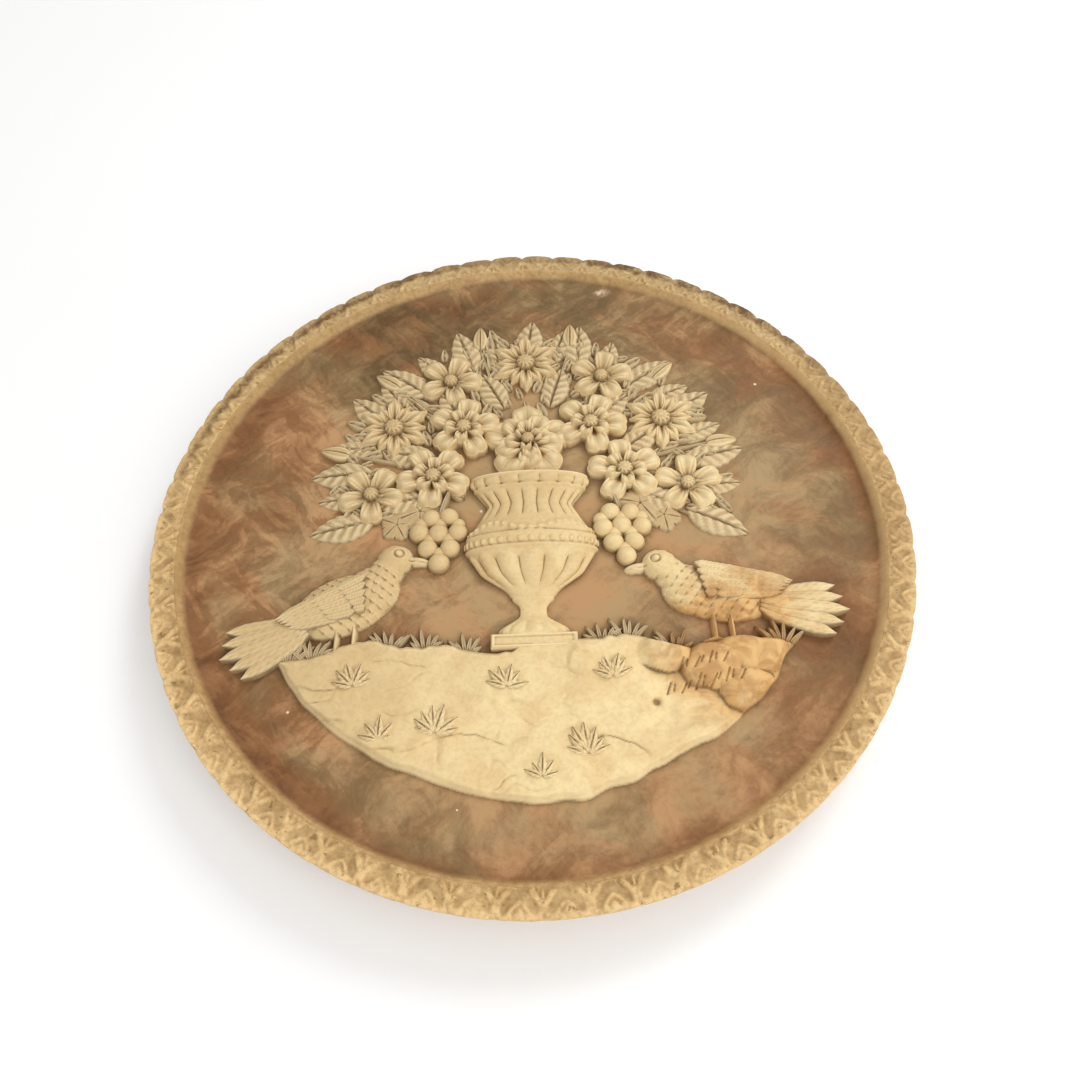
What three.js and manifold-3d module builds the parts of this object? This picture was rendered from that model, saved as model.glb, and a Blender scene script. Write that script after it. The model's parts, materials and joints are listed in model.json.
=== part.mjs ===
// A round moulded dish with a relief in its well: an urn of flowers on a bank, with a bird on each side.
// It is cast in one piece: foot, wall, ornamented border and relief are one solid.
// Millimetres, +Z up. The origin is the middle of the foot's underside, and +Y is the top of the picture.
import * as THREE from "three";
import { ConvexGeometry } from "three/addons/geometries/ConvexGeometry.js";
import { mergeVertices } from "three/addons/utils/BufferGeometryUtils.js";
import Module from "manifold-3d";

// Dish: radii and heights of the turned body
const RIM_RADIUS = 130;
const BAND_Z = 20.2; // ground of the border's ornament
const CREST_RADIUS = 120.9; // plain fillet between the border and the well
const CREST_Z = 20.9;
const FLOOR_RADIUS = 117.4;
const FLOOR_CENTRE_Z = 13.3;
const FLOOR_RISE = 3.6; // the floor is dished: its edge lies this much above its middle
const UNDERSIDE_Z = 4;
const FOOT_INNER = 66;
const FOOT_OUTER = 79;
const TURN_STEPS = 62;

// Border: tongues along the edge, with a fan between each two
const BORDER_UNITS = 62;
const TONGUE = { width: 8.6, reach: 5.8, rise: 1.35, edge: 129.4 };
const FAN = { stem: 2.4, width: 9, outer: 129, inner: 122.2, rise: 0.9 };

// Relief: how far pieces are sunk into the floor, so that they are one with it
const SUNK = 2.2;

// Bank: a strip of ground across the bottom of the picture
const BANK = { halfWidth: 83, top: -47, droop: 3.5, height: 4.4, bevel: 2.4 };
const BANK_ROLL = [[2.0, 11, 0], [1.2, 4.7, 1]]; // height, run and phase of the swells of its top edge
// Boulders on its right-hand end: x, y, size and turn
const BOULDERS = [[70, -53, 11, 0.2], [56, -58, 10, 1.4], [41, -53, 8, 2.5], [66, -66, 9, 0.8]];

// Urn: half-widths at heights above its base, flattened into relief
const URN = { base: -45, flat: 0.3, lift: 1.0 };
const URN_PROFILE = [
  [0, 11.5], [3, 11.5], [7.5, 4.4], [11.5, 4.4], [13.5, 6.6], [17, 8.6], [23, 17.2], [31, 22], [33, 23.2],
  [36, 23.2], [42, 19.8], [51, 14.8], [60, 21.8], [63, 21.2],
];
const GADROONS = { count: 7, depth: 0.07, from: 17, to: 31 }; // lobes round the visible half of the bowl
const PLINTH = { width: 28, height: 5 };

// Bouquet: flowers set out in a fan round the urn's mouth. Reach is the distance from the mouth, and each
// angle is measured from straight up, in degrees
const MOUTH = { x: 0, y: 16 };
const ROSE = { reach: 18, radius: 15, petals: 5, rings: [[1, 4.4], [0.7, 5.6], [0.42, 6.6]] };
const NEAR_FLOWERS = { reach: 35, angles: [-84, -43, 43, 84], radius: 12.6, petals: 5, rise: 4.6 };
const FAR_FLOWERS = { reach: 57, count: 7, spread: 93, radius: 11.4, petals: [5, 6], rise: 3.4 };
const BUDS = { from: 67, count: 6, spread: 77.5, length: 12, width: 6.4, rise: 3 };
const OUTER_LEAVES = { from: 57, count: 11, spread: 104, length: 23, width: 12, rise: 2.3 };
const INNER_LEAVES = { from: 36, count: 8, spread: 98, length: 20, width: 11, rise: 2.9 };

// Grapes: a bunch hanging on each side of the urn, in rows that grow shorter downwards
const GRAPES = { x: 32, y: 2, rows: [2, 3, 2, 1], radius: 4, gap: 6.7, drop: 6, lift: 0.4 };
const VINE_LEAF = { x: 39, y: 5, radius: 8, rise: 2.6 };

// Birds: one on each side, facing the urn. Lengths are for one that faces +X with its feet at 0, 0
const BIRD = { x: 63, feet: -48, size: 1.12 };
const BIRD_POSES = [
  { side: -1, headX: 14.5, headY: 30, lean: 24 },
  { side: 1, headX: 17.5, headY: 25, lean: 10 },
];

const RELIEF_CREAM = 0xd9bf8e;
const ROUGHNESS = 0.62;

const wasm = await Module();
wasm.setup();

const radians = THREE.MathUtils.degToRad;

// Height of the dished floor at a distance from the axis
function floorZ(x, y) {
  return FLOOR_CENTRE_Z + FLOOR_RISE * ((x * x + y * y) / FLOOR_RADIUS ** 2);
}

// A closed three.js geometry as a solid
function solidOf(geometry) {
  const bare = geometry.clone();
  bare.deleteAttribute("normal");
  bare.deleteAttribute("uv");
  const merged = mergeVertices(bare, 1e-4);
  return new wasm.Manifold(
    new wasm.Mesh({
      numProp: 3,
      vertProperties: new Float32Array(merged.attributes.position.array),
      triVerts: new Uint32Array(merged.index.array),
    }),
  );
}

// A solid as a three.js geometry
function geometryOf(solid) {
  const mesh = solid.getMesh();
  const geometry = new THREE.BufferGeometry();
  geometry.setAttribute("position", new THREE.BufferAttribute(mesh.vertProperties, 3));
  geometry.setIndex(new THREE.BufferAttribute(mesh.triVerts, 1));
  geometry.computeVertexNormals();
  return geometry;
}

// A geometry turned about Z and set down at x, y, at a height above the floor there
function onFloor(geometry, x, y, turn = 0, lift = 0) {
  return geometry.rotateZ(turn).translate(x, y, floorZ(x, y) + lift);
}

// An egg-shaped swelling along X, of which the upper half shows
function swelling(length, width, rise) {
  return new THREE.SphereGeometry(1, 8, 4).rotateX(Math.PI / 2).scale(length / 2, width / 2, rise);
}

// A leaf or feather along +X from its stalk at 0, with a ridge along its middle.
// A greater fullness moves its widest place towards the tip
function leaf(length, width, rise, { fullness = 0.8, edge = 0.5, steps = 3 } = {}) {
  const points = [];
  for (const end of [0, length]) {
    points.push(new THREE.Vector3(end, 0, edge * rise), new THREE.Vector3(end, 0, -SUNK));
  }
  for (let i = 1; i < steps; i++) {
    const along = i / steps;
    const half = (width / 2) * Math.sin(Math.PI * along ** fullness);
    for (const side of [-half, half]) {
      points.push(new THREE.Vector3(length * along, side, edge * rise));
      points.push(new THREE.Vector3(length * along, side, -SUNK));
    }
    points.push(new THREE.Vector3(length * along, 0, rise));
  }
  return new ConvexGeometry(points);
}

// A turned form standing on Z, from its [radius, height] pairs
function turned(profile, steps) {
  const points = profile.map(([r, z]) => new THREE.Vector2(r, z));
  return new THREE.LatheGeometry(points, steps).rotateX(Math.PI / 2);
}

// A form about Z drawn in and out in lobes, where its radius is beyond a limit
function lobed(geometry, lobes, depth, beyond = 0) {
  const place = geometry.attributes.position;
  for (let i = 0; i < place.count; i++) {
    const x = place.getX(i);
    const y = place.getY(i);
    if (Math.hypot(x, y) < beyond) continue;
    const scale = 1 - depth * Math.cos(lobes * Math.atan2(x, -y));
    place.setXY(i, x * scale, y * scale);
  }
  return geometry;
}

// A flower seen from the front: cupped petals in a ring about a boss
function rosette(radius, petals, rise) {
  const outer = [[0, -SUNK], [radius * 0.94, -SUNK], [radius, rise * 0.5]];
  const cup = [[radius * 0.66, rise], [radius * 0.34, rise * 0.66], [0, rise * 1.1]];
  return lobed(turned([...outer, ...cup], 2 * petals), petals, 0.15, radius / 2);
}

// Turned body: from the recessed underside out over the foot and the rim, and in over the well's floor
function dishBody() {
  const floorRing = (share) => [FLOOR_RADIUS * share, floorZ(FLOOR_RADIUS * share, 0)];
  const profile = [
    [0, UNDERSIDE_Z],
    [FOOT_INNER - 4, UNDERSIDE_Z],
    [FOOT_INNER, 0],
    [FOOT_OUTER, 0],
    [FOOT_OUTER + 3, 3.2],
    [RIM_RADIUS - 1.4, 17.2],
    [RIM_RADIUS, 18.8],
    [RIM_RADIUS - 0.4, BAND_Z],
    [CREST_RADIUS + 0.7, BAND_Z],
    [CREST_RADIUS, CREST_Z],
    [CREST_RADIUS - 1.5, 18.4],
    floorRing(1),
    floorRing(0.62),
    [0, FLOOR_CENTRE_Z],
  ];
  return turned(profile, TURN_STEPS);
}

// Tongue of the border: a half-round boss that ends at the edge, pointing at the middle of the dish
function tongue() {
  const points = [];
  for (let i = 0; i <= 4; i++) {
    const angle = (Math.PI * i) / 4;
    const across = (-TONGUE.width / 2) * Math.cos(angle);
    const inwards = TONGUE.reach * Math.sin(angle);
    points.push(new THREE.Vector3(TONGUE.edge - inwards, across, BAND_Z - 0.6));
    if (i % 2) points.push(new THREE.Vector3(TONGUE.edge - 0.6, across, BAND_Z + TONGUE.rise * 0.9));
  }
  points.push(new THREE.Vector3(TONGUE.edge - TONGUE.reach * 0.66, 0, BAND_Z + TONGUE.rise));
  return new ConvexGeometry(points);
}

// Fan of the border: narrow at the edge, spreading towards the middle of the dish with a rounded end
function fan() {
  const points = [];
  for (const across of [-1, 1]) {
    points.push(new THREE.Vector3(FAN.outer, (FAN.stem / 2) * across, BAND_Z - 0.6));
    points.push(new THREE.Vector3(FAN.inner + 1.4, (FAN.width / 2) * across, BAND_Z - 0.6));
    points.push(new THREE.Vector3(FAN.inner + 1.6, FAN.width * 0.36 * across, BAND_Z + FAN.rise));
  }
  points.push(new THREE.Vector3(FAN.inner, 0, BAND_Z - 0.6));
  points.push(new THREE.Vector3(FAN.outer - 0.4, 0, BAND_Z + FAN.rise));
  return new ConvexGeometry(points);
}

function border() {
  const solids = [];
  const pitch = (2 * Math.PI) / BORDER_UNITS;
  for (let i = 0; i < BORDER_UNITS; i++) {
    solids.push(solidOf(tongue().rotateZ(pitch * i)));
    solids.push(solidOf(fan().rotateZ(pitch * (i + 0.5))));
  }
  return solids;
}

// Bank: level on top, with a rolling upper edge and a lower edge that follows the well
function bank() {
  const outline = new THREE.Shape();
  const topSteps = 18;
  const bottomSteps = 18;
  const span = BANK.halfWidth - BANK.bevel;
  const endY = BANK.top - BANK.bevel - BANK.droop;
  for (let i = 0; i <= topSteps; i++) {
    const x = -span + (2 * span * i) / topSteps;
    const ending = Math.abs(x / span) ** 6;
    const swells = BANK_ROLL.map(([size, run, phase]) => size * Math.sin(x / run + phase));
    const y = swells.reduce((sum, swell) => sum + swell, BANK.top - BANK.bevel);
    outline[i ? "lineTo" : "moveTo"](x, THREE.MathUtils.lerp(y, endY, ending));
  }
  const start = Math.atan2(endY, span);
  for (let i = 1; i < bottomSteps; i++) {
    const share = i / bottomSteps;
    const angle = start - (Math.PI + 2 * start) * share;
    const radius = Math.hypot(span, endY) + 1.4 * Math.sin(Math.PI * share) * Math.sin(share * 16);
    outline.lineTo(radius * Math.cos(angle), radius * Math.sin(angle));
  }
  const slab = new THREE.ExtrudeGeometry(outline, {
    depth: SUNK + BANK.height - BANK.bevel,
    bevelSize: BANK.bevel,
    bevelThickness: BANK.bevel / 2,
    bevelSegments: 1,
  });
  return slab.translate(0, 0, FLOOR_CENTRE_Z + BANK.bevel / 2 - 0.6);
}

// Boulders heaped at the right-hand end of the bank
function boulders() {
  return BOULDERS.map(([x, y, size, turn]) => {
    const rock = new THREE.IcosahedronGeometry(1, 0).rotateX(0.55).scale(size, size * 0.8, 4.8);
    return solidOf(onFloor(rock, x, y, turn, 1.2));
  });
}

// Urn: a turned form lying with its axis on the floor, flattened, with lobes round its bowl
function urn() {
  const axis = (up) => [0, up];
  const profile = URN_PROFILE.map(([up, half]) => [half, up]);
  const body = turned([axis(0), ...profile, axis(URN_PROFILE.at(-1)[0])], 4 * GADROONS.count);
  const place = body.attributes.position;
  for (let i = 0; i < place.count; i++) {
    if (place.getZ(i) < GADROONS.from || place.getZ(i) > GADROONS.to) continue;
    const angle = Math.atan2(place.getY(i), place.getX(i));
    const scale = 1 + GADROONS.depth * Math.cos(2 * GADROONS.count * angle + Math.PI);
    place.setXY(i, place.getX(i) * scale, place.getY(i) * scale);
  }
  body.rotateX(-Math.PI / 2).scale(1, 1, URN.flat);
  const z = FLOOR_CENTRE_Z + URN.lift;
  const plinth = new THREE.BoxGeometry(PLINTH.width, PLINTH.height, SUNK + 5.2);
  return [
    solidOf(body.translate(0, URN.base, z)),
    solidOf(plinth.translate(0, URN.base - PLINTH.height / 2 + 0.5, z + (5.2 - SUNK) / 2 - 1)),
  ];
}

// The rose: rings of petals, one on another, that close towards its heart
function rose(x, y) {
  return ROSE.rings.map(([share, rise], ring) => {
    const turn = (Math.PI * ring) / ROSE.petals + 0.3;
    return solidOf(onFloor(rosette(ROSE.radius * share, ROSE.petals, rise), x, y, turn));
  });
}

// A place in the bouquet's fan, and the direction outwards there
function fanPlace(reach, degrees) {
  const angle = radians(degrees);
  const x = MOUTH.x + reach * Math.sin(angle);
  const y = MOUTH.y + reach * Math.cos(angle);
  return { x, y, turn: Math.PI / 2 - angle };
}

// Angle of one of a row that is spread evenly from side to side
function fanAngle({ count, spread }, i) {
  return -spread + (2 * spread * i) / (count - 1);
}

function leafFan(row) {
  const solids = [];
  for (let i = 0; i < row.count; i++) {
    const { x, y, turn } = fanPlace(row.from, fanAngle(row, i));
    const sway = 0.28 * Math.sin(i * 2.4);
    solids.push(solidOf(onFloor(leaf(row.length, row.width, row.rise), x, y, turn + sway)));
  }
  return solids;
}

function bouquet() {
  const solids = [...leafFan(OUTER_LEAVES), ...leafFan(INNER_LEAVES), ...leafFan(BUDS)];
  for (let i = 0; i < FAR_FLOWERS.count; i++) {
    const { x, y, turn } = fanPlace(FAR_FLOWERS.reach, fanAngle(FAR_FLOWERS, i));
    const flower = rosette(FAR_FLOWERS.radius, FAR_FLOWERS.petals[i % 2], FAR_FLOWERS.rise);
    solids.push(solidOf(onFloor(flower, x, y, turn)));
  }
  NEAR_FLOWERS.angles.forEach((degrees) => {
    const { x, y, turn } = fanPlace(NEAR_FLOWERS.reach, degrees);
    const flower = rosette(NEAR_FLOWERS.radius, NEAR_FLOWERS.petals, NEAR_FLOWERS.rise);
    solids.push(solidOf(onFloor(flower, x, y, turn)));
  });
  const heart = fanPlace(ROSE.reach, 0);
  return [...solids, ...rose(heart.x, heart.y)];
}

function grapes(side) {
  const solids = [];
  GRAPES.rows.forEach((count, row) => {
    for (let i = 0; i < count; i++) {
      const x = side * (GRAPES.x + (i - (count - 1) / 2) * GRAPES.gap);
      const grape = new THREE.IcosahedronGeometry(GRAPES.radius, 0).rotateX(0.55);
      solids.push(solidOf(onFloor(grape, x, GRAPES.y - row * GRAPES.drop, 0, GRAPES.lift)));
    }
  });
  const { radius, rise } = VINE_LEAF;
  const flat = turned([[0, -SUNK], [radius, -SUNK], [radius, rise / 2], [0, rise]], 10);
  const vineLeaf = lobed(flat, 5, 0.24, 1);
  solids.push(solidOf(onFloor(vineLeaf, side * VINE_LEAF.x, VINE_LEAF.y, 0.3 * side)));
  return solids;
}

// A perched bird, made facing +X and turned about for the right-hand side
function bird({ side, headX, headY, lean }) {
  const wing = leaf(27, 12.5, 6.5, { fullness: 0.6, edge: 0.8 }).rotateZ(Math.PI + radians(lean));
  const shapes = [
    wing.translate(8, 19, 0),
    swelling(30, 19, 5.6).rotateZ(radians(lean)).translate(0, 15, 0),
    swelling(16, 15, 5).translate(headX * 0.6, headY * 0.7, 0.4),
    swelling(11, 10.4, 4.6).translate(headX, headY, 0.8),
    leaf(7, 4.2, 2.4, { fullness: 0.5 }).translate(headX + 3.4, headY - 0.4, 0.6),
  ];
  for (const spread of [-0.16, 0, 0.16]) {
    const feather = leaf(25, 6, 3.6, { fullness: 1.2 }).rotateZ(Math.PI + radians(lean) + spread);
    shapes.push(feather.translate(-9, 11, 0));
  }
  for (const x of [-1, 4]) shapes.push(new THREE.BoxGeometry(1.6, 9, 5).translate(x, 3.5, 1));
  return shapes.map((shape) => {
    const solid = solidOf(shape.scale(BIRD.size, BIRD.size, 1));
    const facing = side > 0 ? solid.mirror([1, 0, 0]) : solid;
    return facing.translate([side * BIRD.x, BIRD.feet, floorZ(BIRD.x, BIRD.feet)]);
  });
}

const solid = wasm.Manifold.union([
  solidOf(dishBody()),
  ...border(),
  solidOf(bank()),
  ...boulders(),
  ...urn(),
  ...bouquet(),
  ...grapes(-1),
  ...grapes(1),
  ...BIRD_POSES.flatMap(bird),
]);

const clay = new THREE.MeshStandardMaterial({ color: RELIEF_CREAM, roughness: ROUGHNESS, metalness: 0 });
clay.flatShading = true;
const dish = new THREE.Mesh(geometryOf(solid), clay);
dish.name = "dish";

const part = new THREE.Group();
part.add(dish);

export default part;
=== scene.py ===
"""A round moulded dish: a border of tongues and palmettes round a mottled brown well, and on the well, in
cream relief, an urn of flowers on a bank with a bird on each side."""
import json
import math

import bpy
import numpy as np
from mathutils import Matrix

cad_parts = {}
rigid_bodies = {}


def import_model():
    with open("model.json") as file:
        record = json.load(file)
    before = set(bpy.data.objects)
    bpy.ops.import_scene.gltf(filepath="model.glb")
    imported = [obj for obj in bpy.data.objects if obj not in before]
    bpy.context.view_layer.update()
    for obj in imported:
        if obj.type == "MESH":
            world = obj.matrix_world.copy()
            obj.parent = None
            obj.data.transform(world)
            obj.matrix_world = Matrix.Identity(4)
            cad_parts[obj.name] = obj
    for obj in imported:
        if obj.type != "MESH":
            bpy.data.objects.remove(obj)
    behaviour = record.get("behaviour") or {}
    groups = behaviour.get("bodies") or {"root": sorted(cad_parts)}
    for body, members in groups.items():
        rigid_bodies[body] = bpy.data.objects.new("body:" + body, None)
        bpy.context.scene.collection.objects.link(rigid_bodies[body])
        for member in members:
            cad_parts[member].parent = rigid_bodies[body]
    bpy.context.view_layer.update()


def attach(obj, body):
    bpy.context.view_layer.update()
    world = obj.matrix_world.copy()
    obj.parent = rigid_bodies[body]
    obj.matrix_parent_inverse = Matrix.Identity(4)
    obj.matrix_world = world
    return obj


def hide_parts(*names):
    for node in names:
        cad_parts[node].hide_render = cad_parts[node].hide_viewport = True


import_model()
MM = 0.001

# Sizes in millimetres: +Z up, +Y towards the top of the picture, origin under the middle of the foot.
FLOOR_RADIUS, FLOOR_CENTRE, FLOOR_RISE = 117.4, 13.3, 3.6
# Corners of the turned dish, from the recess under its foot round to the well: radius, height and fillet.
DISH_CORNERS = [(0, 4, 0), (62, 4, 2.2), (66, 0, 1.0), (79, 0, 1.4), (82, 3.2, 5), (128.2, 17.2, 1.6),
                (129.2, 18.6, 0.5), (128.6, 19.3, 0.3), (121.6, 19.3, 0.2), (121.4, 20.45, 0.3),
                (120.6, 20.5, 0.9), (119.3, 18.3, 1.6), (117.0, 16.85, 2.4), (112, 16.58, 0)]
DISH_STEPS, WELL_EDGE, WELL_RINGS = 372, 111.0, 96
# Rise of the wall's underside for each millimetre outwards.
UNDER_SLOPE = 0.303

BAND_Z, BAND_INNER, BAND_OUTER = 20.2, 121.2, 129.45
BORDER_UNITS, UNIT_STEPS, BAND_ROWS = 62, 37, 31
TONGUE_EDGE, TONGUE_HALF, TONGUE_LONG, TONGUE_HEART = 129.5, 4.5, 5.6, 6.8
PALMETTE_RADIUS, LOBE_RISE, LOBE_DROP = 126.3, 1.25, 0.45
# The border's underside, from its edge inwards: radius, height and hollow.
BAND_UNDER = [(129.35, 18.2, 0.15), (128.3, 17.15, 0.1), (126.5, 17.6, 0.0), (BAND_INNER, 18.4, 0.0)]
# Where the border is rubbed and over how much, in degrees, and a nick in its edge.
RUBBED_AT, RUBBED_OVER, NICK = -137, 26, (-79.4, -99.6)
SUNK = 1.6

URN_BASE, URN_TALL, URN_FLAT, URN_LIFT = -45.0, 63, 0.3, 1.0
URN_PROFILE = [(0, 11.5), (3, 11.5), (7.5, 4.4), (11.5, 4.4), (13.5, 6.6), (17, 8.6), (23, 17.2), (31, 22.0),
               (33, 23.2), (36, 23.2), (42, 19.8), (51, 14.8), (60, 21.8), (63, 21.2)]
GADROONS, URN_BEADS, BEAD_LINE, URN_BELLY = 7, 19, 34.6, 23.2
# Bands of flutes on the urn: how many, how full, middle level, and the heights where they start and stop.
URN_FLUTES = [(10, 0.6, 0.8, (44, 47), (57, 54.5)), (9, 0.5, 0.8, (57.5, 58.6), (62, 61)),
              (6, 1.0, 0.7, (0.8, 1.6), (6.5, 4.5))]
# Lines turned round the urn: height and depth.
URN_LINES = [(32.0, 0.03), (37.2, 0.03), (57.4, 0.03), (13.6, 0.05)]
PLINTH_HALF, PLINTH_DEEP, PLINTH_Y, PLINTH_RISE = 14, 2.5, -47, 3.6

BANK_TOP, BANK_HALF, BANK_DROOP, BANK_Z, BANK_GRID = -47.0, 83.0, 3.5, 19.3, 0.38
BOULDERS = [(70, -53, 11), (56, -58, 10), (41, -53, 8), (66, -66, 9)]
BOULDER_RISE, ROCK_FACES, CRACK_DEPTH, PIT = 1.45, 80, 0.4, (36.9, -69)
# Rows of strokes cut into the bank: x, y, how many and how tall.
STROKE_ROWS = [(45.0, -59.5, 7, 3.6), (40.5, -66.8, 11, 3.8)]
STROKE_GAP, STROKE_WIDTH, STROKE_DEPTH, STROKE_TILT = 2.3, 1.05, 0.7, 9
GRASS_TUFTS, GRASS_BLADES = (-79, -71, -47, -35, -22, 22, 30, 45, 79), 6
# Herbs on the bank: x, y, size and how many leaves.
HERBS = [(-57, -61, 9, 6), (-31, -77, 11, 7), (-9, -63, 9, 6), (15, -85, 10, 7), (-48, -78, 8, 5),
         (24, -61, 9, 6), (1, -91, 7, 5)]

MOUTH = (0.0, 16.0)
ROSE = dict(reach=18, radius=15)
# Rings of the rose from outside in: share of its radius, rise and petals.
ROSE_RINGS = [(1.12, 4.0, 5), (0.86, 5.0, 5), (0.62, 5.8, 4), (0.4, 6.4, 3)]
NEAR = dict(reach=35, angles=(-84, -43, 43, 84), radius=12.6, rise=4.6)
FAR = dict(reach=57, count=7, spread=93, radius=11.4, rise=3.4)
SPRIGS, TWIGS, TWIG_SPREAD = 260, 6, 77.5
# Layers of a bunch of grapes: grapes in each row, first row's y, grape's size, lift and rise.
BUNCH = [((2, 3, 2, 1), 2.0, 8.0, 0.4, 4.0), ((3, 2, 1), -0.6, 6.4, 0.2, 3.0)]
BUNCH_X, GRAPE_ACROSS, GRAPE_DOWN = 32, 6.7, 6

BIRD_X, BIRD_FEET, BIRD_SIZE, BIRD_GRID = 63.0, -48.0, 1.12, 0.3
BIRD_POSES = [dict(side=-1, head=(14.5, 30.0), lean=24), dict(side=1, head=(17.5, 25.0), lean=10)]
SHOULDER, TAIL_FEATHERS, WING_FEATHERS = (7.5, 18.0), 5, 5
# Rows of a wing: start behind the shoulder, length, width and rise.
WING_ROWS = [(4.5, 23, 3.4, 5.2), (1.8, 15, 3.4, 5.8), (-1.2, 9.5, 3.4, 6.35)]

# The ground's broad lights and darks: x, y, reach, how light and how red.
GROUND_PATCHES = [(-104, 40, 46, -0.2, 0.35), (-80, 46, 30, 0.3, 0.3), (-52, 92, 60, -0.5, -0.2),
                  (8, 106, 50, -0.05, -0.35), (66, 92, 46, 0.1, 0.3), (108, 24, 46, 0.05, 0.1),
                  (80, 34, 46, 0.3, -0.6), (96, -50, 48, -0.1, 0.5), (66, -88, 36, 0.3, 0.2),
                  (5, -104, 62, 0.4, 0.05), (52, -98, 36, 0.25, 0.15), (-78, -66, 52, -0.15, 0.4),
                  (-96, -14, 40, 0.05, 0.05), (0, 14, 54, 0.05, -0.45), (-52, 6, 44, 0.4, 0.2),
                  (-28, -98, 36, 0.45, -0.2), (-58, -72, 26, 0.8, 0.0), (72, -12, 28, 0.12, 0.15),
                  (100, -42, 26, -0.4, 0.2), (28, -108, 24, 0.25, 0.0), (98, 50, 28, -0.15, 0.45)]
# Pale specks where the ground is chipped: x, y, size.
CHIPS = [(-17.5, 5.6, 0.7), (-20.5, -6.7, 0.6), (88.4, 57.5, 0.7), (-77, -67.5, 0.55), (-24, -99, 0.4)]

# Colours in the 0 to 255 values that a picture shows.
# Some of these paint light or shade: the pale tan of the border's near edge, the border's edge stain, the
# wash on the ground round the relief, and the lip's sunny and shaded tones.
COLOURS = dict(
    cream_pale=(241, 216, 162), cream_tone=(230, 200, 145), cream_upper=(204, 174, 124),
    cream_wash=(112, 84, 52), khaki_pale=(214, 186, 138), khaki_tone=(200, 170, 122),
    khaki_upper=(192, 164, 118), khaki_wash=(92, 70, 44), rubbed=(248, 228, 184),
    rust_pale=(226, 178, 112), rust_deep=(186, 134, 78),
    tan_pale=(227, 192, 134), tan_deep=(206, 170, 116), tan_far=(182, 156, 111), tan_painted_light=(238, 203, 146),
    tan_dull=(160, 124, 76), tan_dab=(234, 204, 152), umber=(150, 114, 68), groove=(134, 99, 56),
    edge_stain_and_shade=(106, 77, 44), speck=(118, 88, 50),
    olive_dark=(94, 72, 44), olive=(131, 106, 71), olive_pale=(176, 148, 106),
    russet_dark=(106, 69, 40), russet=(142, 99, 63), russet_pale=(190, 145, 101),
    chip=(238, 208, 178), ground_wash_and_shade=(80, 58, 38), wall_pale=(216, 179, 125), wall_deep=(196, 160, 109),
    wall_speckle=(146, 110, 68), wall_near=(168, 130, 80), lip_painted_light=(240, 202, 142),
    lip_painted_shade=(134, 106, 60))

# Lamps: power in watts, size and place in metres. All of them aim at the dish.
LAMPS = dict(window=(8.0, 0.5, (0.72, 0.86, 1.15)), ceiling=(2.8, 1.4, (0.35, -0.25, 1.6)),
             wall=(9.4, 1.2, (0.61, -0.87, 1.06)))
ROOM_LIGHT, STAGE_HALF, STAGE_GLOW = 0.55, 3.0, 0.06
# The camera: picture's side and focal length in pixels, tilt and roll in degrees, how far it is from the
# rim's middle in metres, where that middle shows, in pixels from the picture's, its height in metres, and the
# film's side in millimetres.
PICTURE, FOCAL, TILT, ROLL, FAR_AWAY = 1080, 830.0, 59.03, -2.21, 2.214 * 0.130
RIM_SHOWS, RIM_HEIGHT, FILM = (-9.9, -28.2), 0.0205, 36.0


# Shapes in numbers

def smooth(low, high, value):
    """0 below low, 1 above high, and an even curve between."""
    share = np.clip((np.asarray(value, float) - low) / (high - low), 0, 1)
    return share * share * (3 - 2 * share)


def cloud(x, y, size, seed):
    """Soft random swell between -1 and 1 over the plan, with lumps of about this size."""
    table = np.random.default_rng(seed).uniform(-1, 1, (64, 64))
    u, v = np.asarray(x) / size + 200.0, np.asarray(y) / size + 200.0
    i, j = np.floor(u).astype(int), np.floor(v).astype(int)
    s, t = u - i, v - j
    s, t = s * s * (3 - 2 * s), t * t * (3 - 2 * t)
    row0 = table[j % 64, i % 64] * (1 - s) + table[j % 64, (i + 1) % 64] * s
    row1 = table[(j + 1) % 64, i % 64] * (1 - s) + table[(j + 1) % 64, (i + 1) % 64] * s
    return row0 * (1 - t) + row1 * t


def blurred(field, spread, wrap=False):
    """The field smoothed by a bell of this spread, in cells."""
    reach = int(math.ceil(spread * 2.5))
    bell = np.exp(-0.5 * (np.arange(-reach, reach + 1) / spread) ** 2)
    bell /= bell.sum()
    for axis in (0, 1):
        pad = [(reach, reach) if a == axis else (0, 0) for a in (0, 1)]
        wide = np.pad(field, pad, mode="wrap" if wrap and axis == 1 else "edge")
        field = sum(w * np.take(wide, np.arange(field.shape[axis]) + k, axis) for k, w in enumerate(bell))
    return field


def floor_height(x, y):
    """Height of the dished floor."""
    return FLOOR_CENTRE + FLOOR_RISE * (x * x + y * y) / FLOOR_RADIUS ** 2


def soft_max(heights, sharp):
    """Heights joined as clay is, with a fillet where they meet."""
    top = np.max(heights, axis=0)
    return top + np.log(sum(np.exp(sharp * (h - top)) for h in heights)) / sharp


def dome(x, y, cx, cy, a, b, turn, rise):
    """Height of an egg-shaped swelling, below 0 outside it."""
    c, s = math.cos(math.radians(turn)), math.sin(math.radians(turn))
    u, v = ((x - cx) * c + (y - cy) * s) / a, ((y - cy) * c - (x - cx) * s) / b
    far = np.hypot(u, v)
    return np.where(far < 1, rise * np.sqrt(np.clip(1 - far * far, 0, 1)), (1 - far) * min(a, b))


def crossed(rows, columns):
    """Two tables of these values, one running down and the other across."""
    return np.meshgrid(rows, columns, indexing="ij")


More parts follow.
